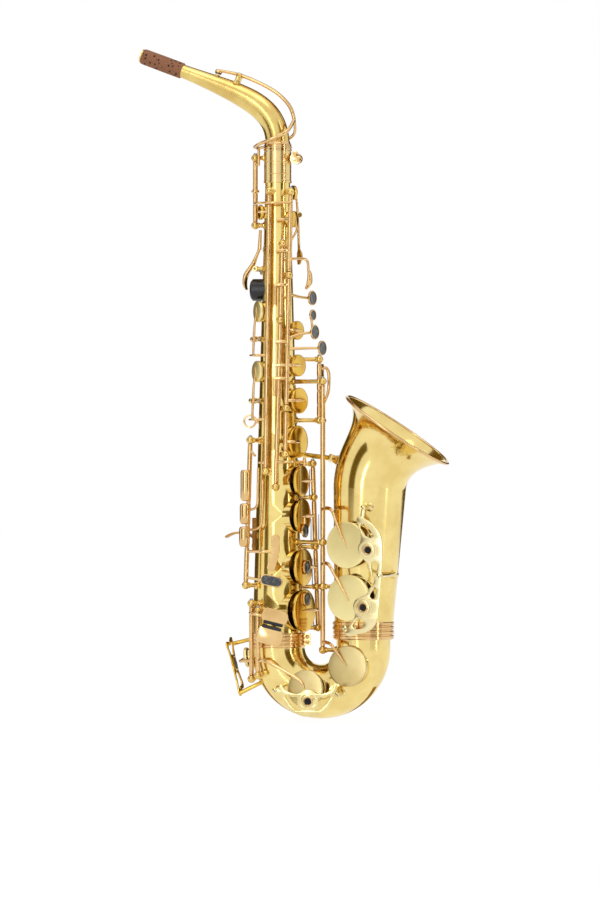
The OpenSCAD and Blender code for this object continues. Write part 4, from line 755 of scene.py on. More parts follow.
# Needle springs: thin tapered needles of blued steel, driven through the posts. Each presses on a hook of its key.
# The temper colour runs from blue to grey over a few millimetres
blued = toned("blued_spring_steel", "#1C2740", "#3D4A6B", 0.004, 2.0, (0.32, 0.32), metallic=1.0)
springs = bmesh.new()
for line, heights in (("lower", (220.3, 170.8, 131, 90)), ("upper", (441.5, 309.3, 263.4)), ("bell", (176,))):
    for z in heights:
        ball = on_line(line, z)
        foot = ball - Vector((ball.x, ball.y, 0)).normalized() * 4.4
        needle = [(0, 0), (0.45, 0), (0.42, 10), (0.3, 26), (0, 26.6)]
        turned(springs, needle, foot + aloft(1.6), (0, 0, 1), steps=10)
finish("needles_blued", springs, [blued], "body", "blued_steel", "needle_springs")

# Strap ring, thumb hook and thumb rest: the ring and hook are cast brass, the rest is a moulded black puck.
dressed("strap_ring", rose_brass, "body", "rose_brass")
cast_brass = brass("cast_brass", "#BE9150", "#8E6432", 0.42, 0.5)
dressed("thumb_hook", cast_brass, "body", "rose_brass")
# Handling has polished the resin in patches about 3 mm wide
resin = toned("moulded_black_resin", "#0E0E10", "#1F1F22", 0.003, 4.0, (0.18, 0.42))
dressed("thumb_rest", resin, "body", "black_resin")
screws = bmesh.new()
for z in (172, 194):
    screw_head(screws, on_body(2.2, 180, z), (-1, 0, 0), 2.2)
finish("hook_screws", screws, [rose_brass, slot_black], "body", "rose_brass")

# Stack keys: each cup hangs open on its own hinge tube. A cup is pressed brass with a rounded shoulder and a ringed
# crown, its pad is leather over felt, and most keys have a finger pearl in a turned holder.
CUP_HIGH = 4.6
deep_brass = brass("deep_gold_brass", "#E8BF55", "#B98A2A", 0.13, 0.5)
# Kid leather, tanned dark brown in patches of 4 mm, with a grain of 0.5 mm
leather = toned("pad_leather", "#4A2C1A", "#7A5232", 0.004, 3.0, (0.6, 0.6))
tree = leather.node_tree
where = add(tree, "ShaderNodeTexCoord")
grain = add(tree, "ShaderNodeTexVoronoi", {"Scale": 1 / 0.0005}, {"Vector": (where, "Object")})
relief = add(tree, "ShaderNodeBump", {"Strength": 0.25, "Distance": 0.0001}, {"Height": (grain, "Distance")})
tree.links.new(relief.outputs[0], tree.nodes["Principled BSDF"].inputs["Normal"])
nacre, tree, shell, at = blank("mother_of_pearl", Roughness=0.16, Coat_Weight=0.6, Coat_Roughness=0.05)
# Growth layers some 9 mm apart, bent, run from slate to smoke grey with a pale gleam
wave = add(tree, "ShaderNodeTexNoise", {"Scale": 1 / 0.009, "Detail": 2.0, "Distortion": 1.2}, at)
layers = add(tree, "ShaderNodeValToRGB", links={"Fac": (wave, "Fac")})
stops = layers.color_ramp.elements
for spot, code in (
    (0.3, "#1A1C20"), (0.45, "#3A3E42"), (0.52, "#262B30"), (0.6, "#686A68"), (0.7, "#414043"), (0.8, "#A8A6A0"),
):
    stops.new(spot).color = lin(code)
for old in (0, -1):
    stops.remove(stops[old])
feed(tree, shell, (layers, 0, "Base Color"))


def cup(metal, pad, spot, n, r):
    """A key cup over its pad, the pad's face at spot."""
    crown = [
        (0, 3.3), (r - 0.9, 3.3), (r - 0.9, 1.0), (r - 0.2, 0.9), (r, 1.15), (r, 2.9), (r - 0.14, 3.35),
        (r - 0.5, 3.72), (r - 1.0, 3.9), (r - 1.7, 4.0), (r * 0.7, 4.28), (r * 0.4, 4.5), (r * 0.15, 4.6), (0, 4.62),
    ]
    turned(metal, crown, spot, n, coat=1, steps=56)
    face = [(0, 0.12), (r * 0.3, 0.05), (r - 2.6, 0.0), (r - 1.5, 0.16), (r - 1.02, 0.75), (r - 0.96, 3.2), (0, 3.2)]
    turned(pad, face, spot, n, steps=40)


def hinge_tube(metal, line, low, high):
    """A key's tube on its rod, with a turned ring near each end."""
    foot, head = on_line(line, low), on_line(line, high)
    half = [(TUBE_BORE, 0), (2.1, 0), (2.4, 0.3), (2.4, 1.3), (2.18, 1.42), (2.18, 1.75), (2.4, 1.87)]
    long = (head - foot).length
    turned(metal, half + [(r, long - h) for r, h in reversed(half)] + half[:1], foot, head - foot, steps=24)


def finger_pearl(metal, pearl, spot, n, r):
    """A turned holder with its pearl, hollowed a little for the fingertip."""
    holder = [(0, 0), (r * 0.55, 0), (r * 0.8, 0.5), (r, 1.4), (r, 2.7), (r - 0.25, 3.0), (r - 0.85, 3.0)]
    turned(metal, holder + [(r - 0.9, 1.5), (0, 1.5)], spot, n, steps=40)
    button = [(0, 1.6), (r - 0.96, 1.6), (r - 0.96, 2.7), (r - 1.5, 3.02), (r * 0.45, 2.78), (0, 2.66)]
    turned(pearl, button, spot, n, steps=40)


def swung(line, angle):
    """The turn of a key about its hinge line."""
    top, low = LINES[line]
    return Matrix.Translation(low) @ Matrix.Rotation(math.radians(angle), 4, top - low) @ Matrix.Translation(-low)


def key(
    node, tubes=(), bars=(), cups=(), turns=(), pearls=(), metal=None, pearl=None, black=None, swing=None, lid=None,
    slot="rose_brass",
):
    """One key: tubes, cups over pads, pearls, bars and turned parts join what is given, and hang on the key's body."""
    metal, pad, pearl = metal or bmesh.new(), bmesh.new(), pearl or bmesh.new()
    for tube in tubes:
        hinge_tube(metal, *tube)
    for seat in cups:
        cup(metal, pad, *seat)
    for button in pearls:
        finger_pearl(metal, pearl, *button)
    for points, wide, high, *flat in bars:
        bar(metal, points, wide, high, **dict(*flat))
    for profile, spot, along, steps in turns:
        turned(metal, profile, spot, along, steps=steps)
    for stuff, tail, coats, finish_slot, nodes in (
        (metal, "_metal", [rose_brass, lid or deep_brass], slot, [node]), (pad, "_pad", [leather], "black_felt", ()),
        (pearl, "_pearl", [nacre], "pale_brass", ()), (black or bmesh.new(), "_rollers", [resin], "black_resin", ()),
    ):
        if not stuff.verts:
            stuff.free()
            continue
        if swing:
            bmesh.ops.transform(stuff, matrix=swing, verts=stuff.verts)
        finish(node + tail, stuff, coats, node, finish_slot, *nodes)


def body_seat(hole):
    """A body hole's cup, as the place, the way and the size of its pad, and the middle of its crown."""
    z, theta, r = BODY_HOLES[hole]
    return (on_body(SEAT, theta, z), radial(theta), r), on_body(SEAT + CUP_HIGH, theta, z)


def spear(hinge, centre, n, r):
    """A cup's arm: strong at the tube, waisted, and drawn out to a point over the crown."""
    back = hinge - centre
    back = (back - n * back.dot(n)).normalized()
    reach = [hinge] + [centre + back * r * far + n * up for far, up in ((0.95, 0.9), (0.35, 0.55), (-0.42, 0.35))]
    return reach, [4.2, 3.0, 3.8, 0.7], [3.4, 2.3, 1.7, 0.9], {"up": n, "sides": 16}


def stack_key(node, line, low, high, hole, angle, pearls=(), bars=()):
    """One stack key: tube, cup, spear arm, and any pearls with the bars that carry them."""
    cups, arms = [], []
    if hole:
        seat, top = body_seat(hole)
        cups.append(seat)
        arms.append(spear(on_line(line, min(max(top.z, low + 2), high - 2)), top, *seat[1:]))
    turn = swung(line, angle)
    key(node, [(line, low, high)], arms + list(bars), cups, pearls=pearls, swing=turn, slot="lacquered_brass")


FINGER = radial(-14)
OPEN = 7
PEARL = 7.4
CROWN = SEAT + CUP_HIGH
stack_key("fs_key", "lower", 224, 250.3, "fs", OPEN)
f_spot = on_body(CROWN - 1, -24, 187.5)
f_link = [on_body(CROWN, -20, 202), on_body(CROWN + 0.6, -22, 195), f_spot]
stack_key(
    "f_key", "lower", 174.5, 216.6, "f", OPEN, [(f_spot, radial(-20), 7.0)], [(f_link, [2.4, 2.8, 3], [2, 2, 2])]
)
stack_key("e_key", "lower", 134.7, 167.1, "e", OPEN, [(on_body(CROWN - 0.6, -22, 151), radial(-22), PEARL)])
stack_key("d_key", "lower", 93.7, 127.3, "d", OPEN, [(on_body(CROWN - 1, -24, 119.5), radial(-24), PEARL)])
pearl_b, pearl_c = radial(-12) * 34.8 + aloft(419), radial(-12) * 37.5 + aloft(385)
pearl_bis, pearl_a = radial(-11) * 35 + aloft(402), radial(-12) * 46 + aloft(369)


def regulator(z, drop=0):
    """The tongue by which one stack key works the next: over the front tube, with a bar along the body if it drops."""
    end = on_body(10.8, -83, z)
    arms = [([on_line("upper", z), on_body(11.8, -66, z), end], [3.6, 3.0, 3.4], [2.2, 2.0, 2.2])]
    if drop:
        along = [end + aloft(1.4), on_body(10.9, -83, z - drop / 2), on_body(10.8, -83, z - drop)]
        arms.append((along, [2.8, 2.6, 2.8], [2.0, 2.0, 2.0]))
    return arms


def pearl_arm(z, bend, pearl):
    """The bar that carries a pearl from the upper hinge line."""
    return [on_line("upper", z), (on_line("upper", bend) + pearl) / 2, pearl], [3.4, 2.8, 2.4], [3.0, 2.4, 2.2]


bis_link = [pearl_c, (pearl_c + pearl_bis) / 2, pearl_bis], [2.4, 2.4, 2.4], [2.2, 2.2, 2.2]
stack_key(
    "b_key", "upper", 385, 437.8, "b", -OPEN, [(pearl_b, FINGER, PEARL)],
    [pearl_arm(423, 421, pearl_b)] + regulator(432, 20),
)
stack_key(
    "c_key", "upper", 372.3, 384.6, None, -OPEN, [(pearl_c, FINGER, PEARL), (pearl_bis, FINGER, 5.6)],
    [pearl_arm(378.65, 381, pearl_c), bis_link] + regulator(375.4),
)
stack_key(
    "a_key", "upper", 345, 371.9, "a", -OPEN, [(pearl_a, FINGER, PEARL)],
    [pearl_arm(368.3, 368.6, pearl_a)] + regulator(352),
)
stack_key("g_key", "upper", 313, 344.6, "g", -OPEN, bars=regulator(339, 18))
seat, top = body_seat("gs")
arm = [on_line("upper", top.z), on_body(12.5, -48, top.z), on_body(8.4, -32, top.z), top + seat[1] * 0.3]
arm = arm, [4, 3.2, 3.4, 1.2], [3.2, 2.8, 2.2, 1.2]
key("gs_key", [("upper", 267.1, 305.6)], [arm], [seat], slot="lacquered_brass")

# Front F touch, high F sharp and alternate F sharp: long tubes along the front with forged arms. The front F touch is
# a crescent plate that the first finger rolls onto.
tip = radial(-10) * 33 + aloft(438.5)
leaf = [tip + Vector(p) for p in ((0, 0, 9.5), (1.4, 0, 4), (1.0, 0, -4), (-2.4, 0, -10.4))]
arm = [on_line("upper", 457.6), radial(-12) * 31 + aloft(457.6), tip + aloft(8)], [3.0, 2.6, 2.6], [2.6, 2.4, 2.2]
leaf = leaf, [2.4, 6.6, 8.6, 4.4], [2.0, 4.2, 4.8, 1.8], {"up": FINGER, "sides": 20}
key("front_f_key", [("upper", 445.2, 521)], [arm, leaf] + regulator(466) + regulator(497))
seat, top = body_seat("high_fs")
arm = [on_line("front", 463.5), top + aloft(-13), top + aloft(-5), top + aloft(2)]
arm = arm, [2.6, 2.4, 2.6, 0.8], [2.2, 2.0, 1.8, 1.0]
key("high_fs_key", [("front", 400.7, 469.3)], [arm], [seat], slot="lacquered_brass")
arm = [on_line("front", 256), on_body(15, -60, 256), on_body(14.5, -28, 256)], [2.8, 2.6, 2.4], [2.4, 2.4, 2.2]
pin = [on_body(14.5, -28, 251.5), on_body(14.6, -28, 256), on_body(14.5, -28, 260.5)]
key("alt_fs_key", [("front", 234.7, 393.3)], [arm, (pin, [2.4, 4.0, 2.4], [2.4, 3.2, 2.4])])

# High E and the side C and B flat: three long tubes share one rod, and short levers reach across to the cross keys.
TAIL_HIGH = 9
foot, head = on_line("side", 244.5), on_line("side", 528)
seat, top = body_seat("high_e")
link = [on_line("side", 255.2), on_body(6.6, -113, 255.2), on_body(7, -121, 255.2)], [3.2, 2.6, 2.2], [2.8, 2.4, 2.0]
arm = [on_line("side", top.z), on_body(10.5, -128, top.z), top + seat[1] * 0.6], [2.8, 2.6, 1.2], [2.4, 2.2, 1.4]
axle = rod(ROD_R, (head - foot).length), foot, head - foot, 20
key("high_e_key", [("side", 250.2, 261.2), ("side", 366.4, 522.3)], [link, arm], [seat], [axle])
for node, low, high, lever in (("side_c_lever", 303.4, 366, "side_c"), ("side_bb_lever", 261.6, 303, "side_bb")):
    theta, z = BODY_HOLES[lever][1], LEVERS[lever][1] + 1
    arm = [on_line("side", z), on_body(TAIL_HIGH + 4.7, -124, z), on_body(TAIL_HIGH + 3.2, theta, z)]
    key(node, [("side", low, high)], [(arm, [2.8, 2.6, 2.2], [2.4, 2.2, 2.0])])

# Cross keys: the side C and B flat and the three palm keys rock on short axles. A palm key's tail is a raised pad of
# cast brass, shaped for the base of the hand.
satin_brass = brass("satin_pale_brass", "#FFF0AE", "#EAD288", 0.4, 0.35)
half = [(TUBE_BORE, 0), (2.1, 0), (2.4, 0.3), (2.4, 3.4), (2.9, 3.7)]
barrel = half + [(r, 8 - h) for r, h in reversed(half)] + half[:1]
for node, (pivot, tail) in LEVERS.items():
    z, theta, r = BODY_HOLES[node]
    n = radial(theta)
    across = Vector((-n.y, n.x, 0))
    hub = on_body(LEVER_HIGH, theta, pivot)
    root, top, end = hub + n * 2.2, on_body(CROWN, theta, z), on_body(TAIL_HIGH, theta, tail)
    arm = [root, (hub + top) / 2 + n * 1.6, top + aloft(-r * 0.3) + n * 0.3, top + aloft(r * 0.4)]
    bars = [(arm, [3.4, 2.8, 3.2, 0.8], [2.6, 2.2, 1.7, 0.9], {"up": n})]
    if node.startswith("palm"):
        bars.append(([root, (hub + end) / 2 + n * 1.4, end + aloft(8)], [3.4, 2.8, 4.5], [2.6, 2.4, 2.2], {"up": n}))
        palm = [end + aloft(9.6), end + aloft(5) + n * 0.6, end + n * 0.7, end + aloft(-6.4)]
        bars.append((palm, [4.0, 11.4, 13.2, 5.0], [1.6, 2.8, 3.0, 1.6], {"up": n, "sides": 22}))
    else:
        bars.append(([root, (hub + end) / 2 + n * 1.2, end], [3.4, 2.6, 2.8], [2.6, 2.2, 2.2], {"up": n}))
    key(
        node + "_key", (), bars, [(on_body(SEAT, theta, z), n, r)], [(barrel, hub - across * 4, across, 24)],
        lid=satin_brass if node.startswith("side") else None, slot="lacquered_brass",
    )

# Side touches: three cast barrels in a column under the right hand, each on its own tube with a link to its long key.
TOUCH_OUT = radial(-143) * 3
for node, low, high, start, stop, link_z, link in (
    ("side_e_touch", 216, 273.8, 219, 246, 268, ((9.6, -136, 265), (9, -128, 262))),
    ("side_c_touch", 193, 215.6, 196, 212.6, 208, ((5.5, -128, 212), (5.4, -126, 232), (5.5, -126, 250))),
    ("side_bb_touch", 171, 192.6, 173.4, 189.6, 188, ((5, -122, 190.5), (5, -114, 200), (5, -113, 238))),
):
    half = [(0, -2), (3.4, -2), (4.3, -1.5), (5.0, -0.4), (5.3, 1.2)]
    barrel = half + [(r, stop - start - h) for r, h in reversed(half)]
    path = [on_line("touch", link_z)] + [on_body(*place) for place in link]
    key(
        node, [("touch", low, high)], [(path, [2.6] * len(path), [2.3] * len(path))],
        turns=[(barrel, on_line("touch", start) + TOUCH_OUT, (0, 0, 1), 32)],
    )

# F sharp trill touch: a bent plate beside the stack and an oval pearl on one short tube.
metal, pearl = bmesh.new(), bmesh.new()
upper = facing(Vector((4.1, -29.8, 174)) + toward * 0.8, toward)
lower = facing(Vector((1.6, -30.4, 157)) + toward * 0.9, toward) @ Matrix.Rotation(math.radians(-17), 4, "Z")
oval = facing(Vector((0.3, -30.6, 138)), toward) @ Matrix.Rotation(math.radians(-12), 4, "Z")
block(metal, (20, 8.4, 1.6), upper, 3.6, 0.5)
block(metal, (19, 8.4, 1.6), lower, 3.6, 0.5)
block(metal, (11.2, 22.8, 2.8), oval @ Matrix.Translation((0, 0, 1.4)), 5.5, 0.5)
block(pearl, (9.2, 20.6, 1.4), oval @ Matrix.Translation((0, 0, 2.5)), 4.5, 0.6)
key(
    "fs_trill_touch", [("touch", 136.7, 170.6)], [
        ([on_line("touch", 167), (-10, -33, 167), (1.2, -31, 167)], [3.0, 2.8, 2.6], [2.6, 2.4, 2.2]),
        ([on_line("touch", 141), (-10, -33, 139), (-3, -31.8, 138.3)], [2.8, 2.6, 2.4], [2.4, 2.2, 2.2]),
    ], metal=metal, pearl=pearl,
)

# Octave mechanism: a curved leaf under the left thumb rocks on short posts, and a tall rocker lifts the neck key's
# ring. The neck key's own small pad closes the vent.
pivot, theta = OCTAVE_AXLE
hub = on_body(LEVER_HIGH, theta, pivot)
leaf, tail, root = [
    [hub + Vector((x, 0, z)) for x, z in line] for line in (
        ((2.6, 20), (-1, 11.5), (-4.4, 4), (-11, -6), (-12.2, -15), (-10.4, -21)), ((3.6, 39), (3.2, 30), (2.6, 19)),
        ((-2.4, 0.6), (-3.4, 2.2), (-4.4, 4)),
    )
]
barrel = [(TUBE_BORE, 0), (2.6, 0), (2.8, 0.3), (2.8, 7.7), (2.6, 8), (TUBE_BORE, 8), (TUBE_BORE, 0)]
flat = {"up": (-1, 0, 0.2), "sides": 20, "per": 8}
key(
    "octave_lever", (), [
        (leaf, [4.5, 6, 8, 10, 10.4, 6.5], [2.4, 3.2, 4.4, 5.0, 4.4, 2.2], flat),
        (tail, [2.6, 3.2, 4.0], [2.4, 2.8, 2.4]), (root, [5, 5, 5], [2.4, 2.4, 2.4], {"up": (-1, 0, 0.6)}),
    ], turns=[(barrel, hub - Vector((0, 4, 0)), (0, 1, 0), 24)],
)


def bead(line, z, half, r, flat):
    """A turned bead on a hinge tube."""
    wall = [(TUBE_BORE, -half), (2.4, -half), (r, -flat), (r, flat), (2.4, half), (TUBE_BORE, half), (TUBE_BORE, -half)]
    return wall, on_line(line, z), (0, 0, 1), 28


finger = [(0, 0), (1.1, 0), (1.3, 0.4), (1.3, 17.2), (0.9, 18.1), (0, 18.2)]
hook = [(-22.9, 0, 513.5), (-18, -19, 513.5), (-3, -26.5, 513.5), (18, -24.5, 513.5)]
key(
    "octave_rocker", [("octave", 496.3, 556.3)], [
        ([on_line("octave", 553), (-20.8, -3, 553.4), (-18.3, -5, 553.2)], [2.6, 2.5, 2.5], [2.4, 2.3, 2.3]),
        (hook, [2.8, 2.6, 2.6, 2.2], [2.4, 2.3, 2.3, 2.0]),
    ], turns=[(finger, (-18.3, -5, 551.8), (0, 0, 1), 20), bead("octave", 526.6, 2, 3.9, 0.8)],
)
pad = bmesh.new()
turned(pad, [(0, 0.1), (2.9, 0.1), (3.3, 0.5), (3.3, 1.6), (0, 1.6)], VENT + VENT_UP * 1.4, VENT_UP, steps=28)
finish("neck_octave_pad", pad, [leather], "neck_octave_key", "black_felt")

# Low keys: big cups on the bow and the bell. The E flat and C are worked by two plates under the little finger, with
# black rollers between them.
LOW_OPEN = -9
BELL_TURN = lean.to_3x3()


def low_seat(node):
    """A big cup on the bow or bell, as the place, the way and the size of its pad, and the middle of its crown."""
    if node in BOW_SPOTS:
        angle, r, tip = BOW_SPOTS[node]
        n = bow_normal(angle, tip)
        spot = bow_point(angle) + n * (BOW_R + SEAT)
    else:
        s, theta, r = BELL_HOLES[node]
        n = BELL_TURN @ radial(theta)
        spot = on_bell(SEAT, theta, s)
    return (spot, n, r), spot + n * CUP_HIGH


def spatula(centre, wide, tall, roller_side):
    """A finger plate and the roller that is let into one of its edges."""
    metal, black = bmesh.new(), bmesh.new()
    place = facing(centre, toward) @ Matrix.Rotation(math.radians(-14), 4, "Z")
    block(metal, (tall, wide, 2), place @ Matrix.Translation((0, 0, 1)), 5.0, 0.6)
    row = place @ Matrix.Translation((-roller_side * tall / 2, 0, 1)) @ Matrix.Rotation(math.pi / 2, 4, "X")
    long = wide * 0.38
    half = [(0, -long), (1.3, -long), (1.8, -long + 0.5), (1.85, 0)]
    turned(black, half + [(r, -h) for r, h in reversed(half[:-1])], (0, 0, 0), (0, 0, 1), steps=20)
    bmesh.ops.transform(black, matrix=row, verts=black.verts)
    return {"metal": metal, "black": black}


seat, top = low_seat("low_eb")
arm = [on_line("eb", 58), (-31, -18, 57.6), (-36, -12, 57), top + seat[1] * 0.6]
touch = [on_line("eb", 106), (-20, -37, 106), (-14, -40.6, 105), (-3, -40.4, 103)]
key(
    "low_eb_key", [("eb", 43.7, 111.3)],
    [(arm, [3.4, 3.0, 2.8, 1.2], [2.6, 2.4, 2.2, 1.4]), (touch, [3.2, 3.0, 3.0, 2.2], [2.6, 2.6, 2.4, 1.8])],
    [seat], lid=satin_brass, slot="lacquered_brass", **spatula((5.6, -38.7, 103), 26, 14, -1),
)
worn_brass = brass("worn_satin_brass", "#DCC88E", "#BFA25E", 0.34, 0.5)
seat, top = low_seat("low_c")
n, r = seat[1:]
arm = [on_line("c", 58), (-1, -37, 58), top + Vector((-r * 0.4, 0, r * 0.5)) + n * 0.8, top + n * 0.5]
touch = [on_line("c", 83.5), (-10, -36, 83.5), (-7, -39.2, 83.5), (-3, -39.6, 83.5)]
key(
    "low_c_key", [("c", 47.7, 104.3)],
    [(arm, [3.8, 3.4, 3.6, 0.9], [3.0, 2.6, 2.0, 1.0]), (touch, [3.2, 3.0, 2.8, 2.0], [2.6, 2.4, 2.2, 1.6])],
    [seat], swing=swung("c", LOW_OPEN), lid=worn_brass, slot="lacquered_brass",
    **spatula((1.8, -37.4, 83.5), 26, 17, 1),
)
for node, low, high, z, side in (("low_bb", 179.7, 332.3, 209, -18), ("low_b", 135.7, 172.3, 154.5, -22)):
    seat, top = low_seat(node)
    s, theta = BELL_HOLES[node][:2]
    n = seat[1]
    # The arm turns over the cup's edge
    elbow = lean @ aloft(z - BELL_FOOT.z) + n * (bell_radius(s) + CROWN + 0.8) + radial(theta + 90) * side
    elbow.z = z
    arm = [on_line("bell", z), elbow, (elbow + top) / 2 + n * 0.4, top + (top - elbow).normalized() * 4]
    key(
        node + "_key", [("bell", low, high)], [(arm, [4.4, 3.8, 3.6, 0.9], [3.2, 2.8, 2.0, 1.0])], [seat],
        [bead("bell", 297, 2.4, 3.5, 1)] if node == "low_bb" else (), swing=swung("bell", LOW_OPEN), lid=satin_brass,
        slot="lacquered_brass",
    )
seat, top = low_seat("low_cs")
elbow = Vector((61, -34.5, 76))
arm = [on_line("bell", 77), elbow, (elbow + top) / 2 + seat[1] * 0.6, top + seat[1] * 0.4]
arm = arm, [4.0, 3.4, 3.2, 0.9], [3.0, 2.6, 2.0, 1.0]
key("low_cs_key", [("bell", 72.7, 128.3)], [arm], [seat], lid=worn_brass, slot="lacquered_brass")

# Left-hand table: four touches on one rod behind the bell's post, for G sharp, C sharp, B and B flat.
CUTS = (301.2, 313, 327, 341, 354.8)
lever = [(41.5, 16.5, 349), (45.9, 17.7, 350), (48.5, 18.3, 343), (47.8, 18.1, 326), (43.3, 17.1, 313)]
lever = lever, [3.0, 3.2, 3.4, 3.2, 1.6], [2.6, 2.8, 2.8, 2.6, 1.6]
for node, low, cut in zip(("bb_touch", "b_touch", "cs_touch", "gs_touch"), CUTS, CUTS[1:]):
    high = cut - 0.4
    hub = on_line("table", (low + high) / 2)
    metal = bmesh.new()
    block(metal, (high - low, 16, 2), facing(hub + Vector((0, 12, 0)), (1, 0, 0)), 3.0, 0.6)
    root = [hub + Vector(p) for p in ((0.6, 1.6, 0), (0, 4, 0), (0, 7, 0))]
    root = root, [4, 4, 4], [2, 2, 1.8], {"up": (1, 0, 0)}
    key(node, [("table", low, high)], [root, lever] if node == "gs_touch" else [root], metal=metal)

# Key guards: plates sawn from sheet brass, their edges rounded, that keep knocks off the low cups. They stand on
# turned feet, and each ring holds an adjustable bumper.
GUARD_THICK, GUARD_BAR, RING_HOLE, RING_OUT = 1.6, 4.6, 5.4, 9.5
GUARD_EDGE = 0.35
BELL_GUARD_OUT, BOW_GUARD_OUT, EB_GUARD_OUT = 51, 47, 47


def guard_bar(whole, place, points, wide=GUARD_BAR):
    """A narrow bar of a guard's plate."""
    spots = [place @ Vector((x, y, GUARD_THICK / 2)) for x, y in points]
    n = place.to_3x3() @ aloft(1)
    bar(whole, spots, [wide] * len(spots), [GUARD_THICK] * len(spots), up=n, sides=16)


def sawn(whole, place, outline, windows):
    """A plate sawn along smooth outlines, with leaf-shaped windows and rounded edges."""
    pattern = bpy.data.curves.new("sawn_plate", "CURVE")
    pattern.dimensions = "2D"
    pattern.fill_mode = "BOTH"
    pattern.resolution_u = 8
    pattern.bevel_depth = GUARD_EDGE
    pattern.bevel_resolution = 2
    pattern.offset = -GUARD_EDGE
    pattern.extrude = GUARD_THICK / 2 - GUARD_EDGE
    for points in (outline, *windows):
        line = pattern.splines.new("BEZIER")
        line.bezier_points.add(len(points) - 1)
        line.use_cyclic_u = True
        for dot, (x, y) in zip(line.bezier_points, points):
            dot.co = (x, y, 0)
            dot.handle_left_type = dot.handle_right_type = "AUTO"
    stencil = bpy.data.objects.new("sawn_plate", pattern)
    scene.collection.objects.link(stencil)
    plate = bpy.data.meshes.new_from_object(stencil.evaluated_get(bpy.context.evaluated_depsgraph_get()))
    bpy.data.objects.remove(stencil)
    bpy.data.curves.remove(pattern)
    part = bmesh.new()
    part.from_mesh(plate)
    bpy.data.meshes.remove(plate)
    bmesh.ops.remove_doubles(part, verts=part.verts, dist=0.001)
    join(whole, part, place @ Matrix.Translation((0, 0, GUARD_THICK / 2)))


def round_cut(x, y, r):
    """A round hole in a sawn plate."""
    return [(x + r * math.cos(math.tau * i / 12), y + r * math.sin(math.tau * i / 12)) for i in range(12)]


def guard_ring(whole, place, x, y):
    """A bumper's ring, its rim raised and grooved."""
    ring = [
        (RING_HOLE, 0), (RING_OUT - 0.5, 0), (RING_OUT, 0.4), (RING_OUT, 1.2), (RING_OUT - 0.6, 1.75), (8.0, 1.8),
        (7.8, 1.55), (7.3, 1.55), (7.1, 1.9), (6.2, 2.3), (RING_HOLE, 2.3), (RING_HOLE, 0),
    ]
    turned(whole, ring, place @ Vector((x, y, 0)), place.to_3x3() @ aloft(1), steps=40)


def guard_foot(whole, foot, head):
    """A turned foot with a flange on the tube and a screw on the plate."""
    tall = (head - foot).length
    stem = [(0, 0), (4.2, 0), (4.2, 0.8), (3.0, 1.6), (2.1, 3.2), (1.9, tall * 0.6), (2.3, tall), (0, tall)]
    turned(whole, stem, foot, head - foot, steps=24)
    screw_head(whole, head, head - foot, 2.3)


quarter = Matrix.Rotation(math.pi / 2, 4, "X")
upright = Matrix.Rotation(math.pi / 2, 4, "Z") @ quarter
bell_plate = lean @ Matrix.Rotation(math.radians(-99.5), 4, "Z") @ Matrix.Translation((BELL_GUARD_OUT, 0, 0)) @ upright
guard = bmesh.new()
BB_STOP, B_STOP, C_STOP = (20.5, 86.5), (18, 30), (40.9, 20)
outline = [
    (8, 118), (18, 116), (26.5, 110), (32.5, 102), (35, 91), (35.4, 77), (35.4, 62), (34.8, 44), (34.2, 28), (32, 16),
    (26.5, 8.5), (16, 4), (1, 2.6), (2.6, 8), (7, 15), (9.6, 22), (7.4, 29.5), (9.4, 36.5), (15.5, 40.4), (20.6, 43),
    (23.6, 49), (28, 54.5), (28, 58.5), (23.6, 65), (20.6, 73), (16.5, 77), (11, 82), (9.6, 88), (12, 94.5), (12, 101),
    (9.4, 109),
]
windows = [
    [(12.4, 112), (17.6, 110.4), (22.6, 105), (24, 99.6), (20.6, 98.8), (15.4, 102)],
    [(25, 74.6), (30.2, 75), (30.4, 66), (28.6, 60.4), (25.6, 66)],
    [(29.6, 50.4), (29.8, 42.4), (28.4, 39), (24.6, 41), (26.6, 46.4)],
    [(8.2, 10.4), (14.4, 8.4), (19.6, 12), (19, 17.6), (14, 19), (10, 15.6)],
    round_cut(*BB_STOP, RING_HOLE), round_cut(*B_STOP, RING_HOLE),
]
sawn(guard, bell_plate, outline, windows)
for stop in (BB_STOP, B_STOP):
    guard_ring(guard, bell_plate, *stop)
n, axis = bell_plate.to_3x3() @ aloft(1), BELL_TURN @ aloft(1)
for line, wide, (x, y) in (
    ([(12, 116), (13, 122), (13.4, 128)], GUARD_BAR, (13.4, 128)),
    ([(33.2, 62), (34.4, 62), (36.4, 62)], GUARD_BAR, (33, 62)), ([(3, 4.2), (1, 6), (0, 9)], 3.4, (0, 9)),
):
    guard_bar(guard, bell_plate, line, wide)
    head = bell_plate @ Vector((x, y, GUARD_THICK))
    reach = head - lean @ aloft(y)
    off = reach - n * reach.dot(n) - axis * reach.dot(axis)
    sunk = BELL_GUARD_OUT + GUARD_THICK - math.sqrt(max(bell_radius(y) ** 2 - off.length ** 2, 40))
    guard_foot(guard, head - n * sunk, head)
finish("bell_guard_sawn", guard, [pale_brass, slot_black], "body", "pale_brass", "bell_key_guard")
bow_plate = Matrix.Translation((0, -BOW_GUARD_OUT, 0)) @ quarter
guard = bmesh.new()
outline = [
    (13.4, 36.5), (13.8, 27), (17.6, 18.6), (24, 11), (32, 6.4), (41, 4.9), (50, 6.4), (58, 11), (64.4, 18.6),
    (68.2, 27), (68.8, 37.5), (64, 31.4), (57.5, 28.2), (50.5, 27.6), (46, 30.4), (41, 31.4), (36, 30.4), (31.5, 27.6),
    (24.5, 28.2), (18, 31.4),
]
leaf = [(19, 26.4), (21.6, 19.6), (26.6, 14), (32.4, 10.9), (31, 15), (30.2, 20), (30.4, 23.4), (24.4, 24)]
sawn(guard, bow_plate, outline, [leaf, [(82 - x, y) for x, y in reversed(leaf)], round_cut(*C_STOP, RING_HOLE)])
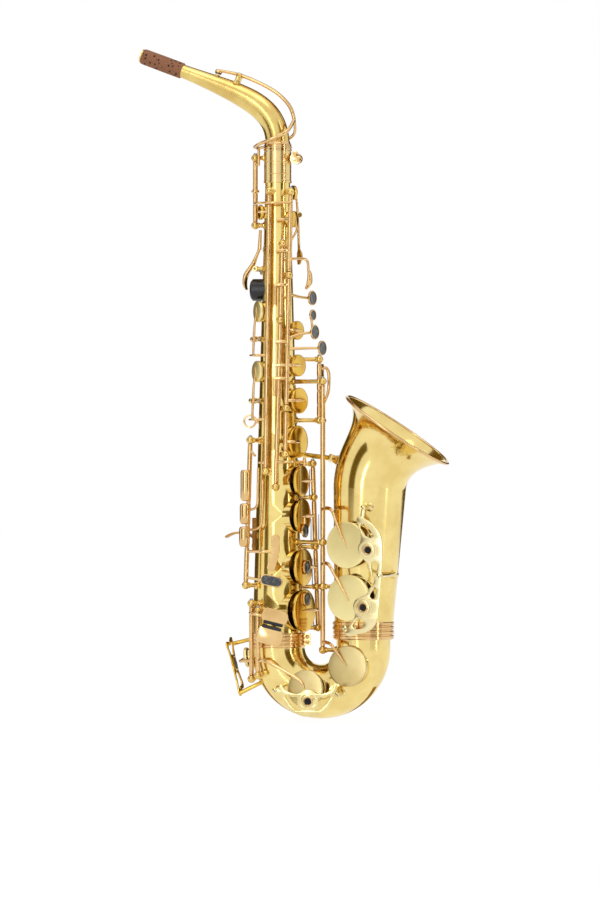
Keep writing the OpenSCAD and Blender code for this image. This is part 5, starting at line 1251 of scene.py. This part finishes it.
guard_ring(guard, bow_plate, *C_STOP)
for foot, end in (((7.5, 30.5), (15, 29)), ((70.5, 27.2), (66.6, 28))):
    guard_bar(guard, bow_plate, [foot, (Vector(foot) + Vector(end)) / 2, end])
    head = bow_plate @ Vector((foot[0], foot[1], GUARD_THICK))
    off = math.hypot(foot[0] - BEND_R, foot[1] - BOW_Z) - BEND_R
    guard_foot(guard, Vector((head.x, -math.sqrt(BOW_R ** 2 - off ** 2) + 0.4, head.z)), head)
guard_brass = brass("sawn_guard_brass", "#EDDC9E", "#C4A65C", 0.18, 0.4)
finish("bow_guard_sawn", guard, [guard_brass, slot_black], "body", "pale_brass", "bow_key_guard")
eb_frame = Matrix.Translation(bow_point(-172)) @ Matrix.Rotation(math.radians(-14), 4, "Y")
eb_plate = eb_frame @ Matrix.Translation((-EB_GUARD_OUT, 0, 0)) @ upright
guard = bmesh.new()
waist = [(-14, 21), (0, 22.5), (14, 26), (11, 13), (9.4, 5), (9.4, -6), (12, -14), (16, -23), (4, -27), (-9, -32)]
waist += [(-9, -18), (-9.4, -6), (-9.4, 5), (-11, 12)]
upper_gap = [(-9.6, 17.6), (0, 18.8), (9.6, 21.2), (7, 13), (4.8, 9.4), (-4.8, 9.4), (-7.4, 12)]
lower_gap = [(11, -20), (3, -23), (-5.4, -26.4), (-5.6, -17), (-4.6, -9.6), (4.8, -9.6), (8, -14)]
sawn(guard, eb_plate, waist, [upper_gap, lower_gap])
guard_ring(guard, eb_plate, 0, 0)
for head, foot in (((-EB_GUARD_OUT, 13, 20), (-20, 13, 20)), ((-EB_GUARD_OUT, -8, -30), (2, -5, -19))):
    head, foot = eb_frame @ Vector(head), eb_frame @ Vector(foot)
    bar(guard, [foot, (foot + head) / 2, head], [4.4, 4.0, 4.4], [4.4, 4.0, 4.4])
finish("eb_guard_sawn", guard, [deep_brass, slot_black], "body", "lacquered_brass", "eb_key_guard")

# Bumpers: black felt plugs in the guards' rings, each turned in or out by the slot in its top to set a key's opening.
# Matted wool, tufts about 0.8 mm across
felt = toned("black_wool_felt", "#0C0C0D", "#2A2A2B", 0.0008, 5.0, (0.95, 0.95), relief=(0.6, 0.0003))
felt.node_tree.nodes["Principled BSDF"].inputs["Sheen Weight"].default_value = 0.3
bumpers = bmesh.new()
plug = [(0, -0.8), (4.9, -0.8), (5.3, -0.4), (5.3, 0.4), (3.5, 0.4), (3.5, 2.2)]
plug += [(2.6, 2.4), (0.9, 2.4), (0.9, 1.7), (0, 1.7)]
sleeve = [(3.55, 0.45), (5.3, 0.45), (5.3, 2.3), (4.9, 2.75), (4.2, 2.75), (3.9, 2.2), (3.55, 2.1), (3.55, 0.45)]
seats = [
    (plate @ Vector((*stop, 0)), plate.to_3x3() @ aloft(1))
    for plate, stop in ((bell_plate, BB_STOP), (bell_plate, B_STOP), (bow_plate, C_STOP))
]
seats.append((eb_plate @ aloft(GUARD_THICK), eb_plate.to_3x3() @ aloft(-1)))
for spot, way in seats:
    turned(bumpers, plug, spot, way, steps=32)
    turned(bumpers, sleeve, spot, way, coat=1, steps=32)
finish("felt_bumpers", bumpers, [felt, rose_brass], "body", "black_felt", "guard_bumpers")
